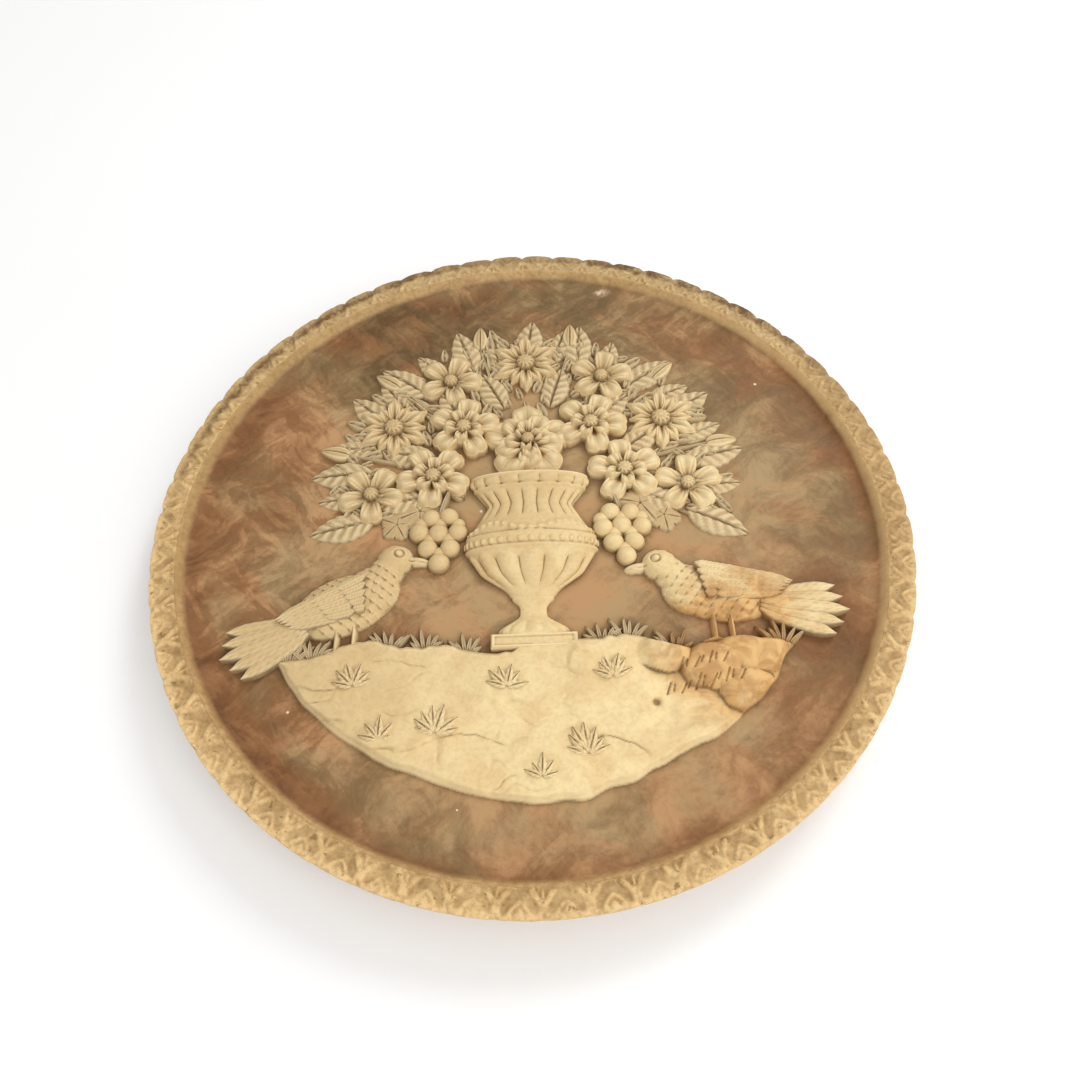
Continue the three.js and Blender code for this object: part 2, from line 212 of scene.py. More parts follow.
def stroke(x, y, start, end, width):
    """Closeness to a straight stroke: 1 on its line and 0 from half its width outwards."""
    dx, dy = end[0] - start[0], end[1] - start[1]
    share = np.clip(((x - start[0]) * dx + (y - start[1]) * dy) / (dx * dx + dy * dy), 0, 1)
    far = np.hypot(x - start[0] - share * dx, y - start[1] - share * dy)
    return np.clip(1 - 2 * far / width, 0, 1)


# Meshes

def in_scene(name, data):
    obj = bpy.data.objects.new(name, data)
    bpy.context.scene.collection.objects.link(obj)
    return obj


def give(obj, name, values):
    obj.data.attributes.new(name, "FLOAT", "POINT").data.foreach_set("value", np.asarray(values, np.float32))


def mesh_object(name, points, faces, scale=MM, crease=None):
    mesh = bpy.data.meshes.new(name)
    mesh.from_pydata((np.asarray(points, float) * scale).tolist(), [], [list(map(int, f)) for f in faces])
    obj = in_scene(name, mesh)
    if crease is not None:
        give(obj, "crease", crease)
    return obj


def closed_under(points, faces, rim, bottom):
    """A top surface closed with upright sides below its rim, given in pairs of points, and a flat base."""
    foot, base = np.unique(rim, return_inverse=True)
    base = base.reshape(-1, 2) + len(points)
    under = points[foot].copy()
    under[:, 2] = bottom
    hub = np.full(len(rim), len(points) + len(foot))
    walls = np.stack([rim[:, 0], base[:, 0], base[:, 1], rim[:, 1]], 1)
    fan = np.stack([base[:, 0], hub, base[:, 1]], 1)
    points = np.vstack([points, under, np.append(under[:, :2].mean(0), bottom)])
    return points, [*faces, *walls.tolist(), *fan.tolist()]


def looped(rim):
    return np.stack([rim, np.roll(rim, -1)], 1)


def disc_grid(shares, steps):
    return crossed(shares, np.arange(steps) * 2 * math.pi / steps)


def closed_disc(x, y, z, peak, bottom):
    """Points and faces of a round form, whose rings close round a middle point at the peak."""
    rows, cols = x.shape
    index = np.arange(rows * cols).reshape(rows, cols)
    after = np.roll(index, -1, 1)
    points = np.vstack([np.stack([x, y, z], -1).reshape(-1, 3), (0, 0, peak)])
    quads = np.stack([index[:-1], index[1:], after[1:], after[:-1]], -1).reshape(-1, 4)
    cap = np.stack([np.full(cols, rows * cols), index[0], after[0]], 1)
    return closed_under(points, [*quads.tolist(), *cap.tolist()], looped(index[-1]), bottom)


def closed_grid(x, y, z, bottom):
    """Points and faces of a form with a gridded top, upright sides and a flat underside."""
    rows, cols = x.shape
    index = np.arange(rows * cols).reshape(rows, cols)
    points = np.stack([x, y, z], -1).reshape(-1, 3)
    quads = np.stack([index[:-1, :-1], index[1:, :-1], index[1:, 1:], index[:-1, 1:]], -1).reshape(-1, 4)
    rim = np.concatenate([index[:-1, 0], index[-1, :-1], index[:0:-1, -1], index[0, :0:-1]])
    return closed_under(points, quads.tolist(), looped(rim), bottom)


def raised_form(height, window, step):
    """Points and faces of a cast form: its top is height(x, y) wherever that is above 0, with an even edge,
    and it stands in the floor."""
    xs, ys = np.arange(window[0], window[1], step), np.arange(window[2], window[3], step)
    x, y = np.meshgrid(xs, ys)
    h = height(x, y)
    grid = np.stack([x, y, h], -1).reshape(-1, 3)
    index = np.arange(h.size).reshape(h.shape)
    a, b = index[:-1, :-1].ravel(), index[:-1, 1:].ravel()
    c, d = index[1:, 1:].ravel(), index[1:, :-1].ravel()
    tris = np.concatenate([np.stack([a, b, c], 1), np.stack([a, c, d], 1)])
    above = grid[:, 2] > 0
    count = above[tris].sum(1)
    whole, tips, stubs = tris[count == 3], tris[count == 1], tris[count == 2]
    tips = np.take_along_axis(tips, (np.argmax(above[tips], 1)[:, None] + np.arange(3)) % 3, 1)
    stubs = np.take_along_axis(stubs, (np.argmin(above[stubs], 1)[:, None] + np.arange(3)) % 3, 1)
    cuts = np.concatenate([tips[:, [0, 1]], tips[:, [0, 2]], stubs[:, [0, 1]], stubs[:, [0, 2]]])
    keys, place = np.unique(np.sort(cuts, 1), axis=0, return_inverse=True)
    p, q = grid[keys[:, 0]], grid[keys[:, 1]]
    share = p[:, 2] / (p[:, 2] - q[:, 2])
    edge = p + (q - p) * share[:, None]
    edge[:, 2] = 0
    place = place.ravel() + len(grid)
    t, s = len(tips), len(stubs)
    t1, t2, s1, s2 = place[:t], place[t:2 * t], place[2 * t:2 * t + s], place[2 * t + s:]
    faces = [whole, np.stack([tips[:, 0], t1, t2], 1), np.stack([s1, stubs[:, 1], stubs[:, 2]], 1),
             np.stack([s1, stubs[:, 2], s2], 1)]
    rim = np.concatenate([np.stack([t1, t2], 1), np.stack([s2, s1], 1)])
    points = np.concatenate([grid, edge])
    kept, faces = np.unique(np.concatenate(faces), return_inverse=True)
    return closed_under(points[kept], faces.reshape(-1, 3).tolist(), np.searchsorted(kept, rim), -SUNK)


def coordinates(obj):
    found = np.empty(len(obj.data.vertices) * 3, np.float32)
    obj.data.vertices.foreach_get("co", found)
    return found.reshape(-1, 3).astype(float) / MM


def set_coordinates(obj, points):
    obj.data.vertices.foreach_set("co", (points * MM).astype(np.float32).ravel())
    obj.data.update()


def lay_on_floor(obj):
    """A relief made on a level ground, set on the dished floor."""
    points = coordinates(obj)
    points[:, 2] += floor_height(points[:, 0], points[:, 1])
    set_coordinates(obj, points)
    return obj


def cast(name, points, faces, clay):
    """A form of the relief, set on the floor."""
    obj = lay_on_floor(mesh_object(name, points, faces))
    obj.data.materials.append(clay)
    return obj


def shade(obj, angle):
    obj.data.shade_smooth()
    obj.data.set_sharp_from_angle(angle=math.radians(angle))


def taken(obj, name):
    """The values of an attribute, which is then removed."""
    field = obj.data.attributes[name]
    values = np.empty(len(field.data), np.float32)
    field.data.foreach_get("value", values)
    obj.data.attributes.remove(field)
    return values


def fine_hollows(obj, heights):
    """How far each point lies below the points next to it, and how far above, from 0 to 1."""
    ends = np.empty(len(obj.data.edges) * 2, np.int32)
    obj.data.edges.foreach_get("vertices", ends)
    a, b = ends.reshape(-1, 2).T
    count = np.bincount(ends, minlength=len(heights)).clip(1)
    level = heights
    for _ in range(5):
        total = np.bincount(a, level[b], len(heights)) + np.bincount(b, level[a], len(heights))
        level = 0.5 * level + 0.5 * total / count
    return smooth(0.03, 0.3, level - heights), smooth(0.04, 0.3, heights - level)


# Geometry Nodes: copies of a shape at marked places, and a ring of border units

def new_tree(name, inputs):
    tree = bpy.data.node_groups.new(name, "GeometryNodeTree")
    for label, kind in inputs.items():
        tree.interface.new_socket(label, in_out="INPUT", socket_type="NodeSocket" + kind)
    tree.interface.new_socket("Result", in_out="OUTPUT", socket_type="NodeSocketGeometry")
    return tree, tree.nodes.new("NodeGroupInput").outputs, tree.nodes.new("NodeGroupOutput")


def lead(tree, start, *nodes):
    """Leads a geometry through the nodes in turn."""
    for node in nodes:
        tree.links.new(start, node.inputs[0])
        start = node.outputs[0] if node.outputs else None


def copies_tree():
    """A copy of Shape at each place, by the place's own turn and size, times the one Scale."""
    tree, given, result = new_tree("copies_at_places", dict(
        Places="Geometry", Shape="Object", Scale="Float", Clay="Material"))
    node, link = tree.nodes.new, tree.links.new
    shape = node("GeometryNodeObjectInfo")
    link(given["Shape"], shape.inputs["Object"])
    turn, size = node("GeometryNodeInputNamedAttribute"), node("GeometryNodeInputNamedAttribute")
    for reader, name in ((turn, "turn"), (size, "size")):
        reader.data_type = "FLOAT_VECTOR"
        reader.inputs["Name"].default_value = name
    euler, scaled = node("FunctionNodeEulerToRotation"), node("ShaderNodeVectorMath")
    scaled.operation = "SCALE"
    link(turn.outputs["Attribute"], euler.inputs["Euler"])
    link(size.outputs["Attribute"], scaled.inputs[0])
    link(given["Scale"], scaled.inputs["Scale"])
    placed, finish = node("GeometryNodeInstanceOnPoints"), node("GeometryNodeSetMaterial")
    link(shape.outputs["Geometry"], placed.inputs["Instance"])
    link(euler.outputs["Rotation"], placed.inputs["Rotation"])
    link(scaled.outputs["Vector"], placed.inputs["Scale"])
    link(given["Clay"], finish.inputs["Material"])
    lead(tree, given["Places"], placed, node("GeometryNodeRealizeInstances"), finish, result)
    return tree


def ring_tree():
    """Units of a border set round the axis, and joined end to end."""
    tree, given, result = new_tree("ring_of_units", dict(
        Unit="Geometry", Units="Int", Join="Float", Clay="Material"))
    node, link = tree.nodes.new, tree.links.new
    places, count = node("GeometryNodePoints"), node("GeometryNodeInputIndex")
    pitch, angle, turn = node("ShaderNodeMath"), node("ShaderNodeMath"), node("ShaderNodeCombineXYZ")
    pitch.operation, angle.operation = "DIVIDE", "MULTIPLY"
    pitch.inputs[0].default_value = 2 * math.pi
    link(given["Units"], places.inputs["Count"])
    link(given["Units"], pitch.inputs[1])
    link(count.outputs["Index"], angle.inputs[0])
    link(pitch.outputs[0], angle.inputs[1])
    link(angle.outputs[0], turn.inputs["Z"])
    euler, placed = node("FunctionNodeEulerToRotation"), node("GeometryNodeInstanceOnPoints")
    link(turn.outputs[0], euler.inputs["Euler"])
    link(given["Unit"], placed.inputs["Instance"])
    link(euler.outputs["Rotation"], placed.inputs["Rotation"])
    joined, finish = node("GeometryNodeMergeByDistance"), node("GeometryNodeSetMaterial")
    link(given["Join"], joined.inputs["Distance"])
    link(given["Clay"], finish.inputs["Material"])
    lead(tree, places.outputs[0], placed, node("GeometryNodeRealizeInstances"), joined, finish, result)
    return tree


def grown(obj, tree, settings):
    """The object with the tree's result as its plain mesh."""
    modifier = obj.modifiers.new(tree.name, "NODES")
    modifier.node_group = tree
    for item in tree.interface.items_tree:
        if item.in_out == "INPUT" and item.name in settings:
            modifier[item.identifier] = settings[item.name]
    bpy.context.view_layer.update()
    made = bpy.data.meshes.new_from_object(obj.evaluated_get(bpy.context.evaluated_depsgraph_get()))
    made.name = obj.name
    obj.modifiers.clear()
    old, obj.data = obj.data, made
    bpy.data.meshes.remove(old)
    return obj


COPIES, RING = copies_tree(), ring_tree()


def copies(name, shape, places, clay):
    """Copies of a unit shape. Each place is x, y, lift, roll, tilt, turn, length, width and rise."""
    table = np.array(places, float)
    marks = mesh_object(name, table[:, :3], [])
    for label, columns in (("turn", slice(3, 6)), ("size", slice(6, 9))):
        field = marks.data.attributes.new(label, "FLOAT_VECTOR", "POINT")
        field.data.foreach_set("vector", table[:, columns].astype(np.float32).ravel())
    grown(marks, COPIES, {"Shape": shape, "Scale": MM, "Clay": clay})
    return lay_on_floor(marks)


def planted(x, y, turn, length, width, rise, tilt=0):
    """A place whose copy stands in the ground."""
    return x, y, -SUNK, 0, tilt, turn, length, width, rise + SUNK


# Materials: fired clay with a brown wash left in its hollows

def linear(name):
    """A named colour as the nodes take it."""
    part = [v / 255 for v in COLOURS[name]]
    return tuple(v / 12.92 if v <= 0.04045 else ((v + 0.055) / 1.055) ** 2.4 for v in part) + (1.0,)


class Finish:
    """A material's nodes, made from the inside out."""

    def __init__(self, name, specular=0.5):
        self.material = bpy.data.materials.new(name)
        self.material.use_nodes = True
        self.tree = self.material.node_tree
        self.shader = self.tree.nodes["Principled BSDF"]
        self.shader.inputs["Specular IOR Level"].default_value = specular
        self.place = self.tree.nodes.new("ShaderNodeTexCoord").outputs["Object"]
        self.split = self.node("ShaderNodeSeparateXYZ", {0: self.place}).outputs

    def put(self, socket, value):
        """Links a value to a socket, or sets it there if it is a number or the name of a colour."""
        if isinstance(value, bpy.types.NodeSocket):
            self.tree.links.new(value, socket)
        else:
            socket.default_value = linear(value) if isinstance(value, str) else value

    def node(self, kind, values, **settings):
        node = self.tree.nodes.new(kind)
        for name, setting in settings.items():
            setattr(node, name, setting)
        for socket, value in values.items():
            self.put(node.inputs[socket], value)
        return node

    def bent(self, size, reach):
        """The places pushed about by up to half this reach, in millimetres, so that what lies there flows."""
        cloudy = {"Vector": self.place, "Scale": 1000.0 / size, "Detail": 1.0}
        cloudy = self.node("ShaderNodeTexNoise", cloudy).outputs["Color"]
        push = {0: cloudy, 1: (reach * MM, reach * MM, 0), 2: self.place}
        return self.node("ShaderNodeVectorMath", push, operation="MULTIPLY_ADD").outputs["Vector"]

    def noise(self, size, detail=4.0, rough=0.55, warp=0.0, stretch=(1, 1, 1), turn=0.0, shift=(0, 0, 0),
              place=None):
        """Cloudy noise with lumps of this size in millimetres, drawn out along its turned axes."""
        spot = {"Vector": self.place if place is None else place, "Scale": stretch,
                "Rotation": (0, 0, math.radians(turn)), "Location": shift}
        spot = self.node("ShaderNodeMapping", spot, vector_type="TEXTURE").outputs[0]
        lumps = {"Vector": spot, "Scale": 1000.0 / size, "Detail": detail, "Roughness": rough,
                 "Distortion": warp}
        return self.node("ShaderNodeTexNoise", lumps).outputs["Fac"]

    def math(self, kind, a, b=0.0, c=0.0):
        return self.node("ShaderNodeMath", {0: a, 1: b, 2: c}, operation=kind).outputs[0]

    def times(self, first, *others):
        for other in others:
            first = self.math("MULTIPLY", first, other)
        return first

    def most(self, a, b):
        return self.math("MAXIMUM", a, b)

    def total(self, *terms):
        """The sum of weighted values. Each term is a weight and a value."""
        whole = 0.0
        for weight, value in terms:
            whole = self.math("MULTIPLY_ADD", value, weight, whole)
        return whole

    def range(self, value, low, high, start=0.0, end=1.0):
        """start below low, end above high, and an even curve between."""
        ends = {0: value, 1: low, 2: high, 3: start, 4: end}
        return self.node("ShaderNodeMapRange", ends, interpolation_type="SMOOTHSTEP").outputs["Result"]

    def mix(self, share, a, b):
        return self.node("ShaderNodeMix", {"Factor": share, 6: a, 7: b}, data_type="RGBA").outputs[2]

    def attribute(self, name):
        return self.node("ShaderNodeAttribute", {}, attribute_name=name).outputs["Fac"]

    def along(self, axis):
        """Place along one of the dish's axes, in millimetres."""
        return self.times(self.split[axis], 1000.0)

    def radius(self):
        """Distance from the dish's axis, in millimetres."""
        x, y = self.split["X"], self.split["Y"]
        return self.times(self.math("SQRT", self.math("ADD", self.times(x, x), self.times(y, y))), 1000.0)

    def patch(self, x, y, reach, soft=0.6, flat=(1.0, 1.0)):
        """1 about a spot of the plan, fading to 0 at its reach."""
        spot = {"Location": (-x * flat[0], -y * flat[1], 0), "Scale": (1000 * flat[0], 1000 * flat[1], 0),
                "Vector": self.place}
        spot = self.node("ShaderNodeMapping", spot, vector_type="POINT").outputs[0]
        far = self.node("ShaderNodeVectorMath", {0: spot}, operation="LENGTH").outputs["Value"]
        return self.range(far, reach, reach * (1 - soft))

    def bump(self, height, strength, depth):
        node = self.node("ShaderNodeBump", {"Strength": strength, "Distance": depth * MM, "Height": height})
        self.put(self.shader.inputs["Normal"], node.outputs[0])

    def done(self, colour, rough):
        self.put(self.shader.inputs["Base Color"], colour)
        self.put(self.shader.inputs["Roughness"], rough)
        return self.material


def clay_finish(name, clay, strength):
    """Clay of the relief, mottled and duller towards the top of the picture, rubbed pale on its ridges, with
    its wash in the hollows."""
    f = Finish(name, 0.25)
    mottle = f.range(f.noise(11, 5, 0.6, 0.6), 0.35, 0.68)
    colour = f.mix(mottle, clay + "_pale", clay + "_tone")
    dull = f.total((0.01, f.along("Y")), (-0.012, f.along("X")), (0.9, f.noise(20, 3)))
    colour = f.mix(f.range(dull, -0.5, 1.2, 0.0, 0.85), colour, clay + "_upper")
    grain = f.range(f.noise(1.4, 3, 0.6), 0.44, 0.64)
    colour = f.mix(f.times(grain, 0.1), colour, clay + "_wash")
    colour = f.mix(f.times(f.attribute("rub"), 0.45), colour, "rubbed")
    ragged = f.times(f.math("SUBTRACT", f.noise(12, 5, 0.6, 1.0), 0.5), 2.0)
    stain = f.math("ADD", f.patch(64, -52, 44, 0.85, (1.0, 0.95)), ragged)
    stain = f.range(f.times(stain, f.patch(64, -54, 46, 0.5)), 0.15, 0.9)
    rust = f.mix(f.range(f.noise(6, 4, 0.6, 0.8), 0.38, 0.64), "rust_pale", "rust_deep")
    colour = f.mix(f.times(stain, 0.85), colour, rust)
    hollow = f.times(f.attribute("wash"), f.range(f.noise(4, 4, 0.65), 0.2, 0.7, 0.7, 1.0))
    colour = f.mix(f.times(hollow, strength), colour, clay + "_wash")
    f.bump(f.noise(0.9, 3, 0.6), 0.25, 0.12)
    return f.done(colour, f.range(mottle, 0, 1, 0.54, 0.66))


def border_finish():
    """Tan clay of the border and the wall: brown in its grooves, with painted light along its near edge,
    and a brown stain along its far outer edge that also paints the shade there."""
    f = Finish("tan_border", 0.25)
    radius, up, side = f.radius(), f.along("Y"), f.math("ABSOLUTE", f.along("X"))
    mottle = f.range(f.noise(7, 5, 0.62, 0.5), 0.35, 0.68)
    colour = f.mix(mottle, "tan_pale", "tan_deep")
    colour = f.mix(f.range(up, 0, 130, 0.0, 0.6), colour, "tan_far")
    # Painted light: the near outer edge of the border is made paler, as if lit from the near side.
    near_edge_light = f.times(f.range(radius, 125.5, 128.8), f.range(up, 30, -70, 0.0, 0.55))
    colour = f.mix(near_edge_light, colour, "tan_painted_light")
    colour = f.mix(f.times(f.patch(124, 22, 64, 0.7), 0.36), colour, "tan_dull")
    colour = f.mix(f.range(f.noise(3.0, 4, 0.68, 0.4), 0.52, 0.68, 0.0, 0.6), colour, "tan_dab")
    colour = f.mix(f.range(f.noise(1.7, 4, 0.72), 0.44, 0.64, 0.0, 0.45), colour, "tan_dull")
    under = f.times(f.range(radius, 123.6, 121.6), f.range(up, 40, -50, 0.0, 0.6),
                    f.range(f.noise(2.6, 4, 0.68), 0.36, 0.6, 0.1, 0.9))
    colour = f.mix(under, colour, "umber")
    hollow = f.times(f.attribute("wash"), f.range(f.noise(5, 4, 0.65), 0.3, 0.65, 0.45, 1.0),
                     f.range(up, 105, -50, 0.4, 1.0), 0.72)
    colour = f.mix(hollow, colour, "groove")
    left = f.range(f.along("X"), -30, -110)
    # A brown stain along the far outer edge that also serves as painted shade on the slope facing away.
    reached = f.total((1.0, radius), (4.0, f.noise(3.5, 4, 0.66)), (-4.0, 0.5), (1.1, left))
    worn_off = f.times(left, f.range(radius, 126.4, 128.6, 0.0, 0.75))
    stain_and_shade = f.times(f.range(reached, 124.6, 127.2), f.range(f.total((1.0, up), (34.0, left)), 15, 100),
                      f.math("SUBTRACT", 1.0, worn_off), f.range(side, 8, 45, 0.55, 1.0),
                      f.range(f.noise(5, 4, 0.65, 0.4), 0.32, 0.6, 0.25, 0.95))
    colour = f.mix(stain_and_shade, colour, "edge_stain_and_shade")
    colour = f.mix(f.range(f.noise(2.1, 3, 0.55), 0.63, 0.7, 0.0, 0.6), colour, "speck")
    f.bump(f.noise(0.8, 3, 0.6), 0.25, 0.15)
    return f.done(colour, f.range(mottle, 0, 1, 0.56, 0.68))


def body_finish():
    """The turned dish: a ground wiped in browns over the floor of the well and up its side, and tan clay
    elsewhere, with painted shade in the cove and round the relief's feet, and painted light and shade on the
    lip."""
    f = Finish("brown_ground", 0.15)
    radius, across, up, height = f.radius(), f.along("X"), f.along("Y"), f.along("Z")
    flow = f.bent(26, 14)
    broad = f.noise(46, 2, 0.5, 0.3)
    blotch = f.noise(18, 6, 0.55, 0.5, (1.2, 0.9, 1.0), 24, (0, 0, 0), flow)
    rising = f.noise(5, 5, 0.58, 0.5, (2.5, 0.8, 1.0), 38, (0.12, 0.4, 0.0), flow)
    falling = f.noise(5, 5, 0.58, 0.5, (2.5, 0.8, 1.0), -48, (0.52, 0.1, 0.0), flow)
    turning = f.range(f.noise(24, 2, 0.5, shift=(0.2, 0.9, 0.0)), 0.42, 0.58)
    feather = f.total((1.0, falling), (1.0, f.times(turning, f.math("SUBTRACT", rising, falling))))
    flecks = f.noise(2.0, 4, 0.72, 0.4, shift=(0.7, 0.3, 0.0), place=flow)
    hue = f.noise(22, 6, 0.52, 0.6, (1.3, 0.85, 1.0), -30, (0.31, 0.17, 0.0), flow)
    brushed = f.range(f.total((1.0, across), (-0.8, up)), 110, -50, 0.4, 1.0)
    smears = f.times(f.range(feather, 0.45, 0.57, -0.42, 0.58), brushed)
    # Painted shade: the cove is darker and redder on the near, left and right sides. This is partly brown
    # ground and partly the shade of its inner wall.
    near = f.times(f.range(up, 60, -10), f.range(across, 100, 30))
    cove_brown_and_shade = f.times(f.range(radius, 109, 118.5), f.most(near, f.patch(118, 22, 62, 0.7)))
    tones = [(1.7, blotch), (0.9, broad), (0.36, smears), (0.14, f.range(blotch, 0.46, 0.58)), (1.0, flecks),
             (-3.62, 0.5), (-0.011, radius), (1.16, 1.0), (-0.5, cove_brown_and_shade), (0.28, f.range(radius, 110, 118))]
    warmth = [(3.5, hue), (0.12, smears), (-3.5, 0.5), (0.6, cove_brown_and_shade)]
    for x, y, reach, tone, warm in GROUND_PATCHES:
        spot = f.patch(x, y, reach, 0.95)
        tones.append((tone, spot))
        warmth.append((warm, spot))
    tone = f.total(*tones)
    low, high = f.range(tone, -1.0, 0.15), f.range(tone, -0.1, 1.05)
    browns = [f.mix(high, f.mix(low, brown + "_dark", brown), brown + "_pale")
              for brown in ("olive", "russet")]
    ground = f.mix(f.range(f.total(*warmth), -0.7, 0.75), *browns)
    chips = 0.0
    for x, y, size in CHIPS:
        chips = f.most(chips, f.patch(x, y, size, 0.5))
    scuff = f.times(f.patch(33, 110, 2.6, 0.8, (0.6, 1.0)), f.range(f.noise(2.2, 4), 0.4, 0.6, 0.1, 0.8))
    ground = f.mix(f.most(chips, scuff), ground, "chip")
    # Round the feet of the relief the ground is darkened: partly brown wash, partly painted contact shade.
    ground = f.mix(f.times(f.attribute("wash"), 0.45), ground, "ground_wash_and_shade")

    clay = f.mix(f.range(f.noise(9, 5, 0.6, 0.5), 0.35, 0.68), "wall_pale", "wall_deep")
    clay = f.mix(f.times(f.range(f.noise(1.6, 3, 0.65), 0.42, 0.66), 0.4), clay, "wall_speckle")
    dabs = f.times(f.range(up, 40, -50), f.range(f.noise(3, 4, 0.68), 0.36, 0.64, 0.0, 0.5))
    clay = f.mix(dabs, clay, "wall_near")
    proud = f.total((1.0, height), (-UNDER_SLOPE, radius))
    lip = f.times(f.range(height, 15, 16), f.range(proud, -19.6, -18.6))
    # Painted light: the lip's inner slope is made paler towards the right.
    lit_slope = f.times(f.range(radius, 121.0, 120.2), f.range(across, 30, 110, 0.0, 0.5), lip)
    clay = f.mix(lit_slope, clay, "lip_painted_light")
    clay = f.mix(f.times(f.range(radius, 120.2, 120.9, 0.0, 0.3), lip), clay, "umber")
    # Painted shade: the lip's inner slope is darkened towards the left.
    left = f.times(f.range(up, -60, 10), f.range(across, -20, -100))
    clay = f.mix(f.times(f.range(radius, 121.2, 120.4, 0.0, 0.35), left, lip), clay, "lip_painted_shade")
    edge = f.total((1.0, radius), (0.003, up), (0.45, left), (1.0, f.noise(6, 4)), (-1.0, 0.5))
    under = f.most(f.range(height, 12.6, 12.2), f.range(proud, -19.9, -20.5))
    outside = f.most(f.range(edge, 118.2, 120.4), under)
    f.bump(f.noise(1.1, 3, 0.6), 0.15, 0.1)
    return f.done(f.mix(outside, ground, clay), f.range(blotch, 0.3, 0.7, 0.48, 0.6))


CREAM = clay_finish("cream_relief", "cream", 0.9)
KHAKI = clay_finish("khaki_leaves", "khaki", 0.95)
TAN = border_finish()
GROUND = body_finish()


# The turned dish

def filleted(corners, steps=5):
    """A profile with its corners rounded. Each corner is radius, height and fillet."""
    line = []
    for i, (r, z, fillet) in enumerate(corners):
        here = np.array([r, z], float)
        if fillet == 0 or i in (0, len(corners) - 1):
            line.append(here)
            continue
        before, after = np.array(corners[i - 1][:2]) - here, np.array(corners[i + 1][:2]) - here
        start = here + before / np.linalg.norm(before) * min(fillet, np.linalg.norm(before) * 0.45)
        end = here + after / np.linalg.norm(after) * min(fillet, np.linalg.norm(after) * 0.45)
        for t in np.linspace(0, 1, steps):
            line.append((1 - t) ** 2 * start + 2 * t * (1 - t) * here + t * t * end)
    return np.array(line)


def dish_body():
    rings = np.linspace(WELL_EDGE, 0, WELL_RINGS)
    profile = np.vstack([filleted(DISH_CORNERS), np.stack([rings, floor_height(rings, 0)], 1)])
    turn = np.arange(DISH_STEPS) * 2 * math.pi / DISH_STEPS
    body = profile[1:-1]
    points = np.stack([np.outer(body[:, 0], np.cos(turn)), np.outer(body[:, 0], np.sin(turn)),
                       np.repeat(body[:, 1:], DISH_STEPS, 1)], -1).reshape(-1, 3)
    index = np.arange(len(points)).reshape(len(body), DISH_STEPS)
    after = np.roll(index, -1, 1)
    quads = np.stack([index[:-1], after[:-1], after[1:], index[1:]], -1).reshape(-1, 4)
    low, high = len(points), len(points) + 1
    caps = [(low, after[0, k], index[0, k]) for k in range(DISH_STEPS)]
    caps += [(high, index[-1, k], after[-1, k]) for k in range(DISH_STEPS)]
    points = np.vstack([points, (0, 0, profile[0, 1]), (0, 0, profile[-1, 1])])
    obj = mesh_object("dish_body", points, [*quads.tolist(), *caps])
    obj.data.materials.append(GROUND)
    return obj


# The border: nested tongues along the edge, and a palmette between each two

def border_height(across, radius):
    """Ornament above the band's ground. A palmette's arms spread over the tips of the tongues beside it.
    across is in units from the middle of a tongue."""
    pitch = 2 * math.pi / BORDER_UNITS * radius
    s = across * pitch
    edge = np.clip(TONGUE_EDGE - radius, 0, None)
    arch = (np.abs(s) / TONGUE_HALF) ** 1.3 + (edge / TONGUE_LONG) ** 1.6
    ring = np.exp(-((arch - 0.66) / 0.17) ** 2)
    flutes = np.abs(np.cos(np.arctan2(s, TONGUE_HEART - edge) * 5.0)) ** 0.7
    tongue = 0.66 * ring + 0.55 * flutes * smooth(0.46, 0.26, arch)

    p = np.where(across > 0, s - pitch / 2, s + pitch / 2)
    inward = PALMETTE_RADIUS - radius
    stem = stroke(p, inward, (0, -3.6), (0, 0.6), 4.0)
    arm = stroke(np.abs(p), inward, (0.4, 0.4), (3.1, 4.2), 2.4)
    middle = stroke(p, inward, (0, 2.6), (0, 4.4), 1.6)
    palmette = 0.85 * smooth(0, 0.75, np.max([stem, arm, 0.8 * middle], axis=0)) * smooth(0.9, 1.15, arch)
    ground = 0.05 + 0.22 * smooth(122.6, BAND_INNER, radius)
    height = ground + np.maximum(tongue, palmette) * smooth(BAND_INNER, 122.0, radius)
    lobe = LOBE_RISE * np.sqrt(np.clip(1 - (1.98 * across) ** 2, 0, 1)) - LOBE_DROP
    outer = smooth(127.4, 129.2, radius)
    return height * (1 - outer) + lobe * outer


